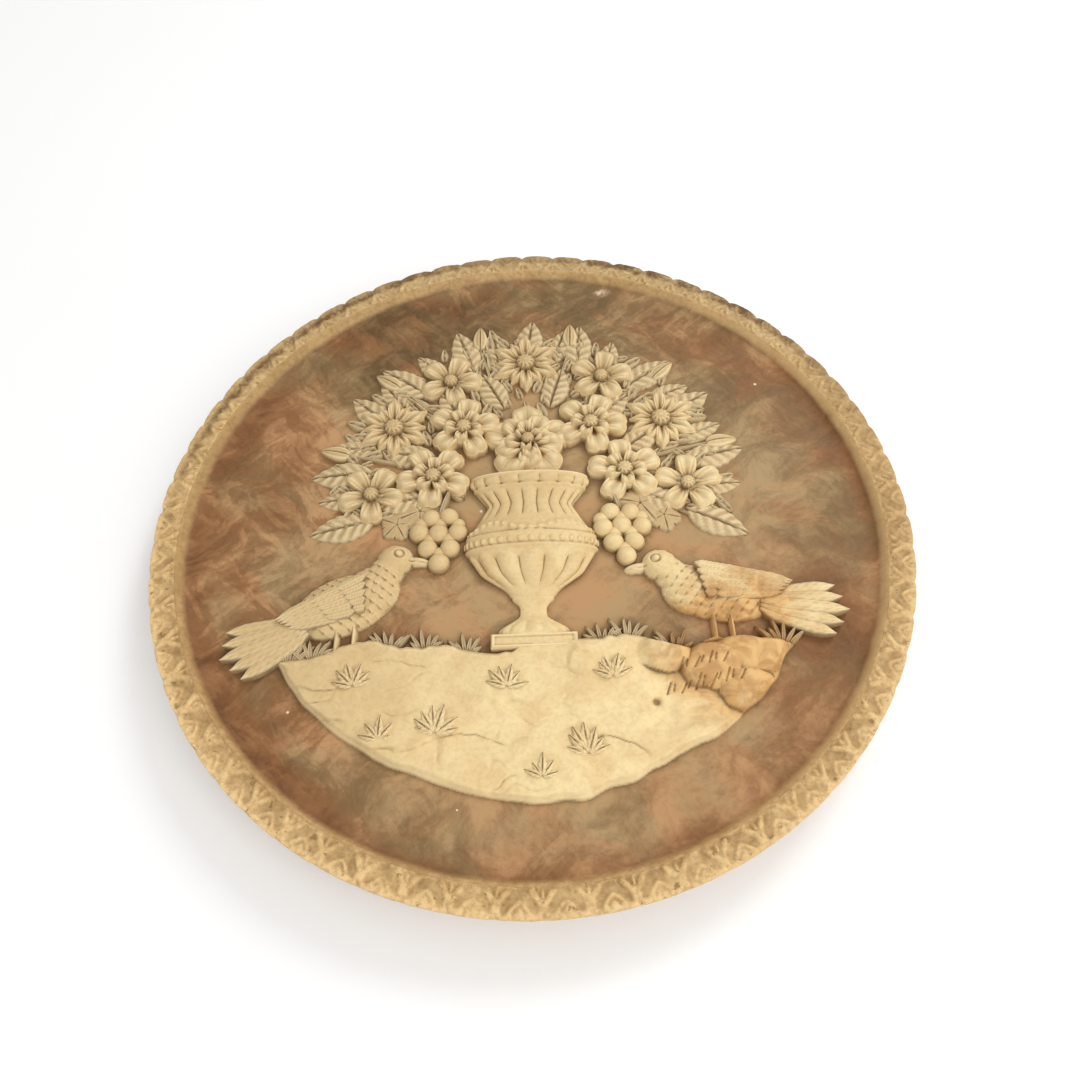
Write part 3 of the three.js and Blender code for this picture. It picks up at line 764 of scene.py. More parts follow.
def border():
    across = np.linspace(-0.5, 0.5, UNIT_STEPS)
    radii = np.linspace(BAND_INNER, BAND_OUTER, BAND_ROWS)
    u, r = np.meshgrid(across, radii)
    h = border_height(u, r)
    hollow = smooth(0.62, 0.08, blurred(h, 0.8, True))
    hollow = hollow * smooth(128.9, 127.6, r) * smooth(120.8, 122.6, r)
    inset = -0.5 * np.exp(-((np.abs(across) - 0.5) * 13 / 1.3) ** 2)
    lip = np.clip(h[-1], -0.4, None)
    rows = [(r[i] + inset * smooth(127.5, 129.5, radii[i]), BAND_Z + h[i], hollow[i])
            for i in range(BAND_ROWS)]
    one = np.ones_like(across)
    rows += [(one * 129.6 + inset * 0.8, BAND_Z - 0.3 + lip * 0.6, one * 0.1),
             (one * 129.66 + inset * 0.3, BAND_Z - 1.0 + lip * 0.25, one * 0.1)]
    rows += [(one * rad, one * z, one * deep) for rad, z, deep in BAND_UNDER]
    theta = across * 2 * math.pi / BORDER_UNITS
    ring = np.stack([np.stack([rad * np.cos(theta), rad * np.sin(theta), z], -1) for rad, z, _ in rows])
    index = np.arange(ring.shape[0] * ring.shape[1]).reshape(ring.shape[:2])
    after = np.roll(index, -1, 0)
    quads = np.stack([index[:, :-1], after[:, :-1], after[:, 1:], index[:, 1:]], -1).reshape(-1, 4)
    crease = np.concatenate([row[2] for row in rows])
    obj = mesh_object("border", ring.reshape(-1, 3), quads.tolist(), crease=crease)
    grown(obj, RING, {"Units": BORDER_UNITS, "Join": 2e-6, "Clay": TAN})
    points = coordinates(obj)
    x, y, z = points.T
    level = BAND_Z + 0.5
    rubbed = 0.14 * np.exp(-((np.degrees(np.arctan2(y, x)) - RUBBED_AT) / RUBBED_OVER) ** 2)
    crisp = 0.78 - rubbed + 0.32 * cloud(x, y, 6, 44) + 0.26 * cloud(x, y, 2.5, 45)
    pitted = 0.12 * cloud(x, y, 1.3, 41) + 0.12 * cloud(x, y, 3.0, 42) + 0.12 * cloud(x, y, 9, 43) - 0.1
    nick = np.exp(-((x - NICK[0]) ** 2 + (y - NICK[1]) ** 2) / 3.0)
    worn = (z - level) * (crisp - 1) * smooth(118, 123, np.hypot(x, y)) + pitted - 0.9 * nick
    points[:, 2] += worn * smooth(19.0, 20.0, z)
    set_coordinates(obj, points)
    crease = taken(obj, "crease") * crisp + 0.45 * fine_hollows(obj, points[:, 2])[0]
    give(obj, "wash", np.clip(crease, 0, 1))
    return obj


# Shapes that repeat in the relief, one unit long and one wide, standing on 0

def shape_object(name, form, hollow):
    points, faces = form
    crease = np.ones(len(points))
    crease[:np.size(hollow)] = np.ravel(hollow)
    obj = mesh_object(name, points, faces, scale=1.0, crease=crease)
    shade(obj, 50)
    return obj


def leaf_shape(name, rows, cols, veins, teeth, point=0.85):
    """A leaf along +X with a sunk midrib, side veins and a toothed edge."""
    a, b = crossed(np.linspace(0, 1, rows), np.linspace(-1, 1, cols))
    half = 0.5 * np.sin(math.pi * np.clip(a, 0.004, 0.996) ** point) ** 0.8
    saw = (((a * 7 + 0.2) % 1.0) - 0.5)
    half = half * (1 + 0.1 * teeth * saw * smooth(0.02, 0.15, a) * smooth(1, 0.85, a))
    vein = np.cos(2 * math.pi * (a * veins - np.abs(b) * 1.1))
    rib = np.exp(-(b * half / 0.035) ** 2)
    z = 0.62 + 0.38 * np.sqrt(np.clip(1 - b * b, 0, 1)) * np.sin(math.pi * a) ** 0.5
    z = z + 0.07 * vein * (1 - np.abs(b)) ** 0.5 * smooth(0, 0.15, a) - 0.2 * rib * smooth(1.0, 0.7, a)
    z = z - 0.2 * np.abs(b) ** 8
    hollow = np.clip(0.9 * rib + 0.25 * (vein < -0.3) + 0.2 * np.abs(b) ** 6, 0, 1)
    return shape_object(name, closed_grid(a, b * half, z, 0.0), hollow)


def petal_shape(name, spread, notch, ruffle, roll):
    """A petal from the flower's middle out along +X, over a spread of this many degrees to each side."""
    rho, phi = crossed(np.r_[np.linspace(0.08, 0.9, 9), 0.95, 0.985, 1.0], np.linspace(-1, 1, 29))
    outline = (1 - 0.55 * np.abs(phi) ** 2.6) * (1 - notch * np.exp(-(phi / 0.16) ** 2))
    outline = outline * (1 + 0.02 * ruffle * np.cos(phi * 11))
    angle = np.radians(spread) * phi * (1 - 0.15 * rho)
    cup = 0.5 + 0.5 * smooth(0.1, 0.75, rho) - 0.2 * smooth(0.8, 1.0, rho) - 0.12 * smooth(0.93, 1.0, rho)
    crease = np.exp(-(phi / 0.11) ** 2) * smooth(0.1, 0.35, rho) * smooth(1.0, 0.75, rho)
    veins = np.clip(-np.cos(phi * 6.0 * math.pi), 0, 1) * smooth(0.2, 0.45, rho) * smooth(0.95, 0.75, rho)
    z = cup + roll * phi * rho - 0.11 * crease - 0.05 * veins + 0.035 * ruffle * np.cos(phi * 11) * rho ** 2
    z = z - 0.16 * np.abs(phi) ** 6
    hollow = np.clip(smooth(0.46, 0.1, rho) + 0.5 * crease + 0.22 * veins + 0.4 * np.abs(phi) ** 8, 0, 1)
    x, y = rho * outline * np.cos(angle), rho * outline * np.sin(angle)
    return shape_object(name, closed_grid(x, y, z, 0.0), hollow)


def feather_shape():
    a, b = crossed(np.linspace(0, 1, 17), np.linspace(-1, 1, 11))
    half = 0.5 * smooth(-0.12, 0.25, a) * np.sqrt(np.clip(1 - smooth(0.6, 1.0, a) ** 2, 0.0004, 1))
    shaft = np.exp(-(b / 0.16) ** 2)
    barb = np.cos(2 * math.pi * (a * 8 + np.abs(b) * 1.2))
    z = 0.92 + 0.06 * np.sqrt(np.clip(1 - b * b, 0, 1)) + 0.035 * shaft + 0.014 * barb * (1 - shaft)
    z = z - 0.1 * np.abs(b) ** 6 - 0.06 * smooth(0.85, 1.0, a)
    hollow = 0.85 * np.abs(b) ** 5 + 0.35 * (barb < -0.4) * (1 - shaft) + 0.3 * smooth(0.2, 0, a)
    hollow = np.clip(hollow, 0, 1)
    return shape_object("feather_shape", closed_grid(a, b * half, z, 0.0), hollow)


def round_shape(name, dimples):
    """A round boss, smooth for a grape or bead, or dimpled for a flower's heart."""
    rho, phi = disc_grid(np.sin(np.linspace(0.12, 0.5 * math.pi, 8)), 20)
    z = np.sqrt(np.clip(1 - rho ** 2, 0, 1))
    dots = np.cos(phi * 10 + rho * 9) * np.cos(rho * 13)
    z = z + dimples * 0.09 * dots * smooth(0, 0.3, rho)
    hollow = np.clip(dimples * (dots < -0.2) * 0.7 + smooth(0.8, 1.0, rho) * 0.8, 0, 1)
    form = closed_disc(0.5 * rho * np.cos(phi), 0.5 * rho * np.sin(phi), z, 1.0, -0.3)
    return shape_object(name, form, np.append(hollow, 0))


def vine_shape():
    """A leaf of five lobes seen flat, with a vein to each lobe's tip."""
    rho, phi = disc_grid(np.r_[np.linspace(0.1, 0.9, 8), 0.96, 1.0], 60)
    outline = 0.5 * (0.74 + 0.26 * np.abs(np.cos(2.5 * phi)) ** 0.8 + 0.04 * np.cos(25 * phi))
    vein = np.exp(-(np.sin(2.5 * phi) / 0.16) ** 2) * (np.cos(2.5 * phi) ** 2 > 0.5)
    z = 1.0 - 0.35 * rho ** 2 - 0.16 * vein * smooth(1.0, 0.6, rho) - 0.14 * smooth(0.9, 1.0, rho)
    z = z + 0.06 * np.cos(phi * 10) * rho
    hollow = np.clip(0.8 * vein + 0.3 * smooth(0.9, 1, rho), 0, 1)
    form = closed_disc(rho * outline * np.cos(phi), rho * outline * np.sin(phi), z, 0.86, 0.0)
    return shape_object("vine_shape", form, np.append(hollow, 0.8))


# The bouquet

def fan_place(reach, degrees):
    angle = math.radians(degrees)
    return MOUTH[0] + reach * math.sin(angle), MOUTH[1] + reach * math.cos(angle), math.pi / 2 - angle


def fan_row(start, count, spread, length, width, rise):
    """Leaves set out evenly in a fan round the urn's mouth."""
    row = []
    for i in range(count):
        x, y, turn = fan_place(start, -spread + 2 * spread * i / (count - 1))
        row.append(planted(x, y, turn + 0.28 * math.sin(i * 2.4), length, width, rise, tilt=0.04))
    return row


def foliage():
    leaf = leaf_shape("leaf_shape", 29, 13, 6, 1.0)
    outer = fan_row(57, 11, 104, 23, 12.5, 2.3)
    between = fan_row(58, 10, 94, 23, 12.5, 2.2)
    places = outer + fan_row(36, 8, 98, 20, 11.5, 2.9)
    places += [(*place[:6], place[6] * 0.8, place[7] * 0.78, place[8] * 0.9) for place in between]
    main = copies("leaves", leaf, places, KHAKI)
    small = leaf_shape("leaflet_shape", 8, 5, 2, 0.0, 0.75)
    chance = np.random.default_rng(11)
    places = []
    for i in range(SPRIGS):
        reach = 22 + 46 * math.sqrt((i + 0.5) / SPRIGS)
        x, y, turn = fan_place(reach, -103 + 206 * ((i * 0.61803) % 1.0))
        turn += chance.uniform(-0.9, 0.9)
        size = chance.uniform(5.5, 9.5)
        places.append(planted(x, y, turn, size, size * 0.62, chance.uniform(1.3, 2.6)))
    sprigs = copies("sprigs", small, places, KHAKI)
    buds = leaf_shape("bud_shape", 17, 13, 0, 0.0, 0.7)
    row = fan_row(67, TWIGS, TWIG_SPREAD, 12, 6.4, 3.2)
    stem = leaf_shape("stem_shape", 9, 5, 0, 0.0, 0.5)
    twigs = []
    for i in range(TWIGS):
        x, y, turn = fan_place(46, -TWIG_SPREAD + 2 * TWIG_SPREAD * i / (TWIGS - 1))
        twigs.append(planted(x, y, turn, 26, 1.8, 2.0))
    for place in fan_row(52, 11, 104, 23, 12.5, 2.3):
        twigs.append((*place[:6], place[6] * 1.25, 1.5, place[8] * 0.96))
    return [main, sprigs, copies("buds", buds, row, CREAM), copies("twigs", stem, twigs, KHAKI)]


def flower_places(x, y, petals, first, radius, rise):
    return [planted(x, y, first + 2 * math.pi * k / petals, radius, radius, rise) for k in range(petals)]


def flowers():
    broad = petal_shape("broad_petal", 39, 0.09, 1.0, 0.1)
    slim = petal_shape("slim_petal", 25, -0.12, 0.4, 0.05)
    curl = petal_shape("rose_petal", 46, 0.0, 0.7, 0.14)
    wide, narrow, rose, hearts = [], [], [], []
    for degrees in NEAR["angles"]:
        x, y, turn = fan_place(NEAR["reach"], degrees)
        first, radius, rise = turn - math.pi / 2, NEAR["radius"], NEAR["rise"]
        wide += flower_places(x, y, 5, first + math.pi / 5, radius * 1.13, rise)
        wide += flower_places(x, y, 5, first, radius * 0.66, rise + 0.9)
        hearts.append((x, y, rise * 0.62, 0, 0, turn, 6.4, 6.4, 2.4))
    for i in range(FAR["count"]):
        x, y, turn = fan_place(FAR["reach"], -FAR["spread"] + 2 * FAR["spread"] * i / (FAR["count"] - 1))
        first, radius, rise = turn - math.pi / 2, FAR["radius"], FAR["rise"]
        if i % 2:
            narrow += flower_places(x, y, 6, first + math.pi / 6, radius * 1.12, rise)
            narrow += flower_places(x, y, 6, first, radius * 0.92, rise - 0.5)
            hearts.append((x, y, rise * 0.5, 0, 0, turn, 7.6, 7.6, 2.6))
        else:
            wide += flower_places(x, y, 5, first + math.pi / 5, radius * 1.12, rise)
            hearts.append((x, y, rise * 0.5, 0, 0, turn, 5.6, 5.6, 2.3))
    x, y, _ = fan_place(ROSE["reach"], 0)
    for ring, (share, rise, petals) in enumerate(ROSE_RINGS):
        rose += flower_places(x, y, petals, 0.3 + ring * 0.7, ROSE["radius"] * share, rise)
    hearts_shape = round_shape("heart_shape", 1.0)
    hearts.append((x, y, 4.4, 0, 0, 0, 5.0, 5.0, 2.2))
    return [copies("broad_petals", broad, wide, CREAM), copies("slim_petals", slim, narrow, CREAM),
            copies("rose_petals", curl, rose, CREAM), copies("flower_hearts", hearts_shape, hearts, CREAM)]


def grapes():
    grape = round_shape("grape_shape", 0.0)
    stem = leaf_shape("stalk_shape", 9, 5, 0, 0.0, 0.5)
    chance = np.random.default_rng(8)
    fruit, leaves, stalks = [], [], []
    for side in (-1, 1):
        for counts, top, size, lift, rise in BUNCH:
            for row, count in enumerate(counts):
                for i in range(count):
                    x = side * (BUNCH_X + (i - (count - 1) / 2) * GRAPE_ACROSS) + chance.uniform(-0.5, 0.5)
                    y = top - row * GRAPE_DOWN + chance.uniform(-0.5, 0.5)
                    wide = size * chance.uniform(0.92, 1.06)
                    fruit.append((x, y, lift, 0, 0, chance.uniform(0, 3), wide, wide * 0.96, rise))
        leaves.append(planted(side * 39, 5, 0.3 * side, 19, 19, 2.6))
        leaves.append(planted(side * 47, 0, 1.1 * side, 13, 13, 1.9))
        stalks.append(planted(side * BUNCH_X, 2, math.pi / 2 + 0.3 * side, 14, 2.2, 4.6))
    return [copies("grapes", grape, fruit, CREAM), copies("vine_leaves", vine_shape(), leaves, KHAKI),
            copies("grape_stalks", stem, stalks, KHAKI)]


# The urn

def urn():
    ups, halves = np.array(URN_PROFILE, float).T
    v = np.linspace(0, URN_TALL, 190)
    plain = np.interp(v, ups, halves)
    half = blurred(np.tile(plain, (3, 1)), 2.2)[1]
    u = np.radians(np.linspace(-90, 90, 141))
    vv, uu = crossed(v, u)
    width = np.repeat(half[:, None], len(u), 1)
    lobes = np.abs(np.cos(GADROONS * uu)) ** 0.7
    bowl = smooth(17, 20, vv) * smooth(31.3, 29.0, vv + 1.6 * (1 - lobes))
    swell = 0.1 * (lobes - 0.62) * bowl
    for count, full, middle, start, stop in URN_FLUTES:
        band = smooth(*start, vv) * smooth(*stop, vv)
        swell = swell + 0.08 * (np.abs(np.cos(count * uu)) ** full - middle) * band
    hang = 42.2 - 3.4 * np.cos(2.2 * uu) ** 2
    swag = np.exp(-((vv - hang) / 1.15) ** 2) * smooth(36.5, 38, vv)
    swell = swell + 0.06 * swag * (1 + 0.45 * np.cos(uu * 40))
    for line, size in URN_LINES:
        swell = swell + size * np.exp(-((vv - line) / 0.55) ** 2)
        swell = swell - size * np.exp(-((vv - line - 1.2) / 0.45) ** 2)
    x = width * (1 + swell * 0.55) * np.sin(uu)
    z = URN_LIFT - 0.35 + URN_FLAT * width * np.cos(uu) + swell * width * (0.3 + 0.3 * np.cos(uu))
    body = cast("urn", *closed_grid(x.T, (URN_BASE + vv).T, z.T, -SUNK), CREAM)
    bead = round_shape("bead_shape", 0.0)
    row = []
    for k in range(URN_BEADS):
        a = math.radians(-81 + 9 * k)
        lift = URN_LIFT + URN_FLAT * URN_BELLY * math.cos(a) - 1.1
        length = 0.9 + 2.1 * math.cos(a)
        row.append((URN_BELLY * math.sin(a), URN_BASE + BEAD_LINE, lift, 0, 0, 0, length, 3.0, 1.25))
    beads = copies("urn_beads", bead, row, CREAM)
    a, b = crossed(np.linspace(-PLINTH_HALF, PLINTH_HALF, 57),
                   np.linspace(PLINTH_Y - PLINTH_DEEP, PLINTH_Y + PLINTH_DEEP, 13))
    edge = np.minimum(PLINTH_HALF - np.abs(a), PLINTH_DEEP - np.abs(b - PLINTH_Y))
    top = PLINTH_RISE + 0.7 * smooth(0, 0.5, edge) - 0.5 * smooth(0.9, 1.2, edge)
    return [body, beads, cast("plinth", *closed_grid(a, b, top, -SUNK), CREAM)]


# The bank, with boulders at its right and rows of shallow strokes cut into them

def bank_top_edge(x):
    swell = BANK_TOP + 2.0 * np.sin(x / 11) + 1.2 * np.sin(x / 4.7 + 1) + 0.5 * cloud(x, 0 * x, 2.4, 5)
    ending = np.clip(np.abs(x / BANK_HALF), 0, 1.05) ** 6
    return swell * (1 - ending) + (BANK_TOP - BANK_DROOP) * ending


def strokes(x, y):
    """Two rows of slanting strokes, uneven and unjoined."""
    tilt = math.radians(STROKE_TILT)
    ux, uy = math.cos(tilt), math.sin(tilt)
    mark = np.zeros_like(x)
    for ox, oy, count, tall in STROKE_ROWS:
        for i in range(count):
            px, py = ox + STROKE_GAP * i * ux, oy + STROKE_GAP * i * uy
            rise, low = tall * (1.0, 0.55, 0.8, 0.45)[i % 4], (0.0, 0.7, -0.4, 0.9)[i % 4]
            lean = (1.5, 0.9, 1.8, 0.5)[(i * 3) % 4]
            start = (px - uy * low, py + ux * low)
            mark = np.maximum(mark, stroke(x, y, start, (start[0] + lean, start[1] + rise), STROKE_WIDTH))
    return mark


def rock_faces(x, y):
    """Broken faces, each with its own height and tilt, and the lines that are open between some of them."""
    chance = np.random.default_rng(23)
    ends = ((-88, 88), (-101, -44), (-0.6, 0.6), (0, 1), (-0.03, 0.03), (-0.07, 0.07))
    sx, sy, level, open_line, tilt_x, tilt_y = (chance.uniform(*pair, ROCK_FACES) for pair in ends)
    wx, wy = x + 3.0 * cloud(x, y, 7, 51), y + 2.2 * cloud(x, y, 7, 52) + 0.8 * cloud(x, y, 3, 53)
    dx, dy = wx[..., None] - sx, wy[..., None] - sy
    far = np.hypot(dx * 0.42, dy)
    near = np.sort(far, axis=-1)[..., :2]
    share = np.exp(-(far - near[..., :1]) / 0.8)
    share = share / share.sum(-1, keepdims=True)
    face = ((level + tilt_x * dx + tilt_y * dy) * share).sum(-1)
    crack = np.exp(-((near[..., 1] - near[..., 0]) / 0.85) ** 2)
    crack = crack * smooth(0.4, 0.7, (open_line * share).sum(-1))
    return face, crack * smooth(-0.5, 0.3, cloud(x, y, 9, 54))


def bank_height(x, y):
    angle = np.arctan2(y, x)
    share = (np.arctan2(BANK_TOP - BANK_DROOP, BANK_HALF) - angle) / 2.05
    outer = math.hypot(BANK_HALF, BANK_TOP - BANK_DROOP) + 1.4 * np.sin(math.pi * share) * np.sin(share * 16)
    outer = outer + 0.9 * cloud(x, y, 7, 3)
    inside = np.minimum(bank_top_edge(x) - y, outer - np.hypot(x, y))
    full = BANK_Z - floor_height(x, y)
    faces, cracks = rock_faces(x, y)
    swell = 0.5 * cloud(x / 2.4, y, 8, 9) + 0.12 * cloud(x, y, 2.4, 14)
    earth = full - 0.7 + swell + faces - CRACK_DEPTH * cracks
    rocky = smooth(31, 37, x + 3 * cloud(x, y, 9, 6)) * smooth(-79, -73, y + 3 * cloud(x, y, 8, 7))
    stones = [full - 1.9 + 0.4 * cloud(x, y, 4, 31)]
    for bx, by, size in BOULDERS:
        rough = 0.1 * cloud(x + by, y, 5, 21) + 0.04 * cloud(x, y + bx, 2.4, 22)
        far = np.hypot((x - bx) / size, (y - by) / (size * 0.78)) + rough
        stones.append(BANK_Z + BOULDER_RISE - floor_height(x, y) - 2.6 * np.clip(far, 0, 1.6) ** 5)
    stony = soft_max(stones, 5) + 0.09 * cloud(x, y, 3.2, 30)
    body = earth * (1 - rocky) + stony * rocky
    pit = np.exp(-((x - PIT[0]) ** 2 + (y - PIT[1]) ** 2) / 2.0)
    body = body - STROKE_DEPTH * strokes(x, y) - 2.2 * pit
    side = smooth(-0.1, 0.5, inside) * 0.5 + 0.5 * smooth(0.2, 2.4, inside)
    return np.where(inside > 0, np.maximum(body * side, 0.02), inside)


def bank():
    earth = cast("bank", *raised_form(bank_height, (-88, 88, -101, -41), BANK_GRID), CREAM)
    blade = leaf_shape("blade_shape", 11, 5, 0, 0.0, 0.6)
    chance = np.random.default_rng(4)
    places = []
    for x in GRASS_TUFTS:
        for k in range(GRASS_BLADES):
            off = k - (GRASS_BLADES - 1) / 2
            lean = off * 0.34 + chance.uniform(-0.14, 0.14)
            tall = chance.uniform(5, 10) * (1 - 0.07 * abs(off))
            at = x + off * chance.uniform(0.5, 1.1)
            foot = float(bank_top_edge(np.array([at]))[0]) - 1.6
            places.append(planted(at, foot, math.pi / 2 - lean, tall, 2.1, 3.2))
    grass = copies("grass", blade, places, KHAKI)
    dock = leaf_shape("dock_shape", 17, 9, 4, 0.4, 0.75)
    places = []
    for x, y, size, count in HERBS:
        high = BANK_Z - float(floor_height(x, y)) + 0.35
        for k in range(count):
            off = k - (count - 1) / 2
            turn = math.pi / 2 + off * 2.5 / (count - 1) + chance.uniform(-0.12, 0.12)
            tall = size * (1 - 0.1 * abs(off)) * chance.uniform(0.85, 1.1)
            places.append((x, y, high - 2.6, 0, 0, turn, tall, tall * 0.42, 2.6 + 0.2 * (k % 3)))
    herbs = copies("ground_leaves", dock, places, CREAM)
    return [earth, grass, herbs]


# The birds

def bird_height(head, lean):
    """Height of a bird that faces +X with its feet at 0, 0, with its breast feathers, beak, eye and legs."""
    hx, hy = head

    def height(x, y):
        body = dome(x, y, 0, 15, 15.4, 9.8, lean, 4.6)
        breast = dome(x, y, hx * 0.56, hy * 0.66, 8.6, 8.0, 55, 4.8)
        neck = dome(x, y, hx * 0.82, hy * 0.86, 6.4, 5.4, 60, 4.7)
        skull = dome(x, y, hx, hy, 5.7, 5.3, 15, 5.2)
        rump = dome(x, y, -11, 15 - 11 * math.tan(math.radians(lean)), 9, 5.2, lean, 3.4)
        beak = dome(x, y, hx + 6.6, hy - 0.7, 4.4, 1.7, -6, 2.9)
        clay = soft_max([body, breast, neck, skull, rump, beak], 2.4)
        c, s = math.cos(math.radians(lean + 30)), math.sin(math.radians(lean + 30))
        along, across = (x * c + (y - 15) * s) / 2.6, ((y - 15) * c - x * s) / 2.8
        row = np.floor(along)
        cell = np.abs(((across + 0.5 * (row % 2)) % 1.0) - 0.5) * 2
        scale = (1 - (along - row)) - 0.5 * cell ** 2
        plumage = smooth(-0.5, 0.1, -dome(x, y, hx, hy, 4.6, 4.4, 0, 1)) * smooth(0, 2.0, clay)
        clay = clay + 0.45 * (scale - 0.35) * plumage * (x < hx + 3)
        spot = np.hypot(x - hx - 1.5, y - hy - 1.0)
        clay = clay + 0.5 * np.sqrt(np.clip(1 - spot ** 2, 0, 1)) - 0.65 * np.exp(-((spot - 1.4) / 0.36) ** 2)
        clay = clay - 0.5 * stroke(x, y, (hx + 4.5, hy - 0.9), (hx + 11, hy - 1.6), 0.9)
        legs = np.full_like(x, -1.0)
        for foot in (-1.0, 4.0):
            for start, end in (((foot, 8), (foot, -0.4)), ((foot, -0.2), (foot + 3.2, -1.2)),
                               ((foot, -0.2), (foot - 2.0, -1.2))):
                legs = np.maximum(legs, 3.0 * np.sqrt(stroke(x, y, start, end, 1.7)) - 0.1)
        return np.maximum(clay, legs)

    return height


def birds():
    made, plumes = [], []
    for pose in BIRD_POSES:
        side, lean = pose["side"], math.radians(pose["lean"])
        points, faces = raised_form(bird_height(pose["head"], pose["lean"]), (-27, 32, -4, 38), BIRD_GRID)
        points[:, :2] *= BIRD_SIZE
        points[:, 0] = -side * points[:, 0] + side * BIRD_X
        points[:, 1] += BIRD_FEET
        if side > 0:
            faces = [f[::-1] for f in faces]
        made.append(cast("bird_left" if side < 0 else "bird_right", points, faces, CREAM))
        back = math.pi + lean

        def plume(root, along, across, angle, length, width, rise):
            x = root[0] - along * math.cos(lean) - across * math.sin(lean)
            y = root[1] - along * math.sin(lean) + across * math.cos(lean)
            turn = back + angle if side < 0 else -lean - angle
            plumes.append((side * (BIRD_X - x * BIRD_SIZE), BIRD_FEET + y * BIRD_SIZE, -1, 0, 0, turn,
                           length * BIRD_SIZE, width * BIRD_SIZE, rise + 1))

        tail = (-8, 12 - 8 * math.tan(lean))
        for k in range(TAIL_FEATHERS):
            off = k - (TAIL_FEATHERS - 1) / 2
            plume(tail, 2, -1.1 * off, off * 0.13, 25 - abs(off) * 1.5, 4.6, 3.9 - 0.4 * abs(off))
        for start, length, width, rise in WING_ROWS:
            for k in range(WING_FEATHERS):
                plume(SHOULDER, start + 0.9 * k, 4.9 - 2.3 * k, 0.1 - 0.07 * k,
                      length - 1.5 * k, width, rise - 0.16 * k)
    made.append(copies("bird_feathers", feather_shape(), plumes, CREAM))
    return made


# The wash: brown left in the hollows of the relief, and round its feet on the ground, where it is also
# painted shade

def apply_wash(pieces, ground):
    """Marks how deep each point lies below its surroundings, and adds the shapes' own creases."""
    cell, reach = 0.8, 132.0
    axis = np.arange(-reach, reach, cell) + cell / 2
    gx, gy = np.meshgrid(axis, axis)
    top = floor_height(gx, gy)
    places = {}
    for obj in [*pieces, ground]:
        points = coordinates(obj)
        i = np.clip(((points[:, 0] + reach) / cell).astype(int), 0, len(axis) - 1)
        j = np.clip(((points[:, 1] + reach) / cell).astype(int), 0, len(axis) - 1)
        places[obj.name] = (points, j, i)
        if obj is not ground:
            np.maximum.at(top, (j, i), points[:, 2])
    around = blurred(top, 2.2)
    for obj in pieces:
        points, j, i = places[obj.name]
        hollows, ridges = fine_hollows(obj, points[:, 2])
        wash = 0.95 * smooth(0.1, 1.9, around[j, i] - points[:, 2]) + hollows
        if "crease" in obj.data.attributes:
            wash = wash + 0.85 * taken(obj, "crease")
        give(obj, "wash", np.clip(wash, 0, 1))
        give(obj, "rub", ridges)
    # On the ground this depth below the relief darkens its feet: partly wash, partly painted contact shade.
    points, j, i = places[ground.name]
    inside = (points[:, 2] > 12.5) * (np.hypot(*points[:, :2].T) < 116)
    give(ground, "wash", smooth(0.1, 2.0, around[j, i] - points[:, 2]) * inside)


body = dish_body()
edge = border()
relief = [*foliage(), *flowers(), *grapes(), *urn(), *bank(), *birds()]
for name in [o.name for o in bpy.data.objects if o.name.endswith(("_shape", "_petal"))]:
    bpy.data.objects.remove(bpy.data.objects[name])
apply_wash(relief, body)
shade(body, 40)
shade(edge, 60)
for piece in relief:
    shade(piece, 48)
for piece in [body, edge, *relief]:
    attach(piece, "root")
    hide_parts("dish")


# Floor, light and camera

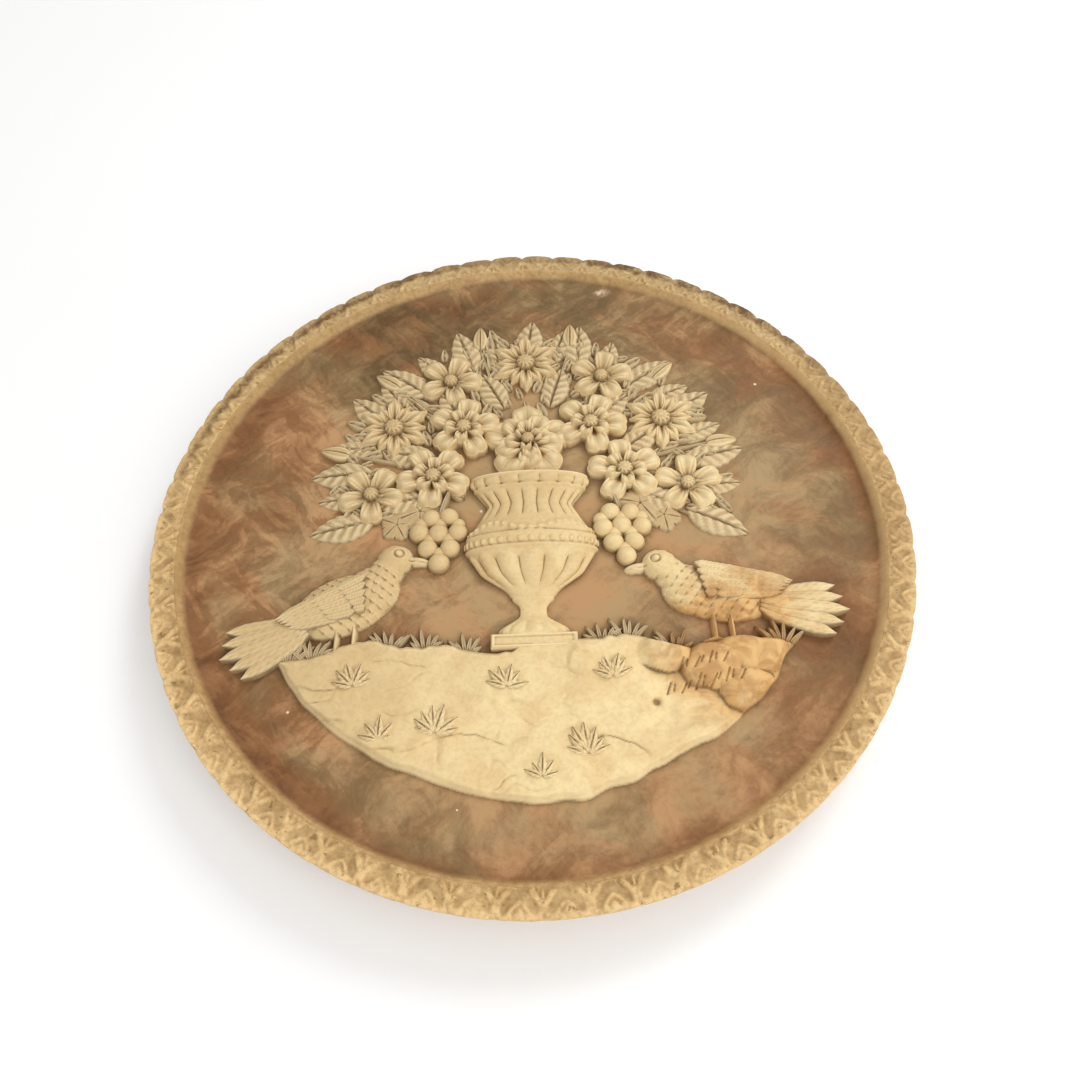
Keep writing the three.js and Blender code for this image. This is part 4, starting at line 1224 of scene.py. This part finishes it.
def pale_floor():
    corners = [(-STAGE_HALF, -STAGE_HALF, 0), (STAGE_HALF, -STAGE_HALF, 0), (STAGE_HALF, STAGE_HALF, 0),
               (-STAGE_HALF, STAGE_HALF, 0)]
    obj = mesh_object("floor", corners, [(0, 1, 2, 3)], scale=1.0)
    f = Finish("pale_floor")
    f.shader.inputs["Emission Color"].default_value = (1, 1, 1, 1)
    f.shader.inputs["Emission Strength"].default_value = STAGE_GLOW
    pale = f.mix(f.noise(180, 2), (0.95, 0.95, 0.945, 1), (0.92, 0.92, 0.915, 1))
    obj.data.materials.append(f.done(pale, 0.85))


def set_axes(obj, right, up, back, place):
    obj.matrix_world = Matrix(np.vstack([np.c_[right, up, back, place], (0, 0, 0, 1)]).tolist())


def lamp(name, energy, size, place):
    data = bpy.data.lights.new(name, "AREA")
    data.energy, data.size = energy, size
    ahead = -np.array(place)
    ahead = ahead / np.linalg.norm(ahead)
    right = np.cross(ahead, (0, 0, 1))
    right = right / np.linalg.norm(right)
    set_axes(in_scene(name, data), right, np.cross(right, ahead), -ahead, place)


def camera():
    """The camera of the photograph: its lens, and its place worked out from the rim's outline."""
    tilt, roll = math.radians(TILT), math.radians(ROLL)
    off = np.array([RIM_SHOWS[0] / FOCAL, RIM_SHOWS[1] / FOCAL, 1.0])
    centre = off / np.linalg.norm(off) * FAR_AWAY
    c, s = math.cos(roll), math.sin(roll)
    spin = np.array([[c, -s, 0], [s, c, 0], [0, 0, 1]])
    c, s = math.cos(tilt), math.sin(tilt)
    axes = spin @ np.array([[1, 0, 0], [0, -s, -c], [0, c, -s]])
    place = -axes.T @ centre + np.array([0, 0, RIM_HEIGHT])
    data = bpy.data.cameras.new("camera")
    data.sensor_width, data.lens = FILM, FOCAL / PICTURE * FILM
    obj = in_scene("camera", data)
    set_axes(obj, axes[0], -axes[1], -axes[2], place)
    bpy.context.scene.camera = obj


pale_floor()
for name, (energy, size, place) in LAMPS.items():
    lamp(name, energy, size, place)
world = bpy.data.worlds.new("room")
world.use_nodes = True
background = world.node_tree.nodes["Background"].inputs
background["Color"].default_value = (1, 1, 1, 1)
background["Strength"].default_value = ROOM_LIGHT
bpy.context.scene.world = world
bpy.context.scene.view_settings.view_transform = "Standard"
camera()
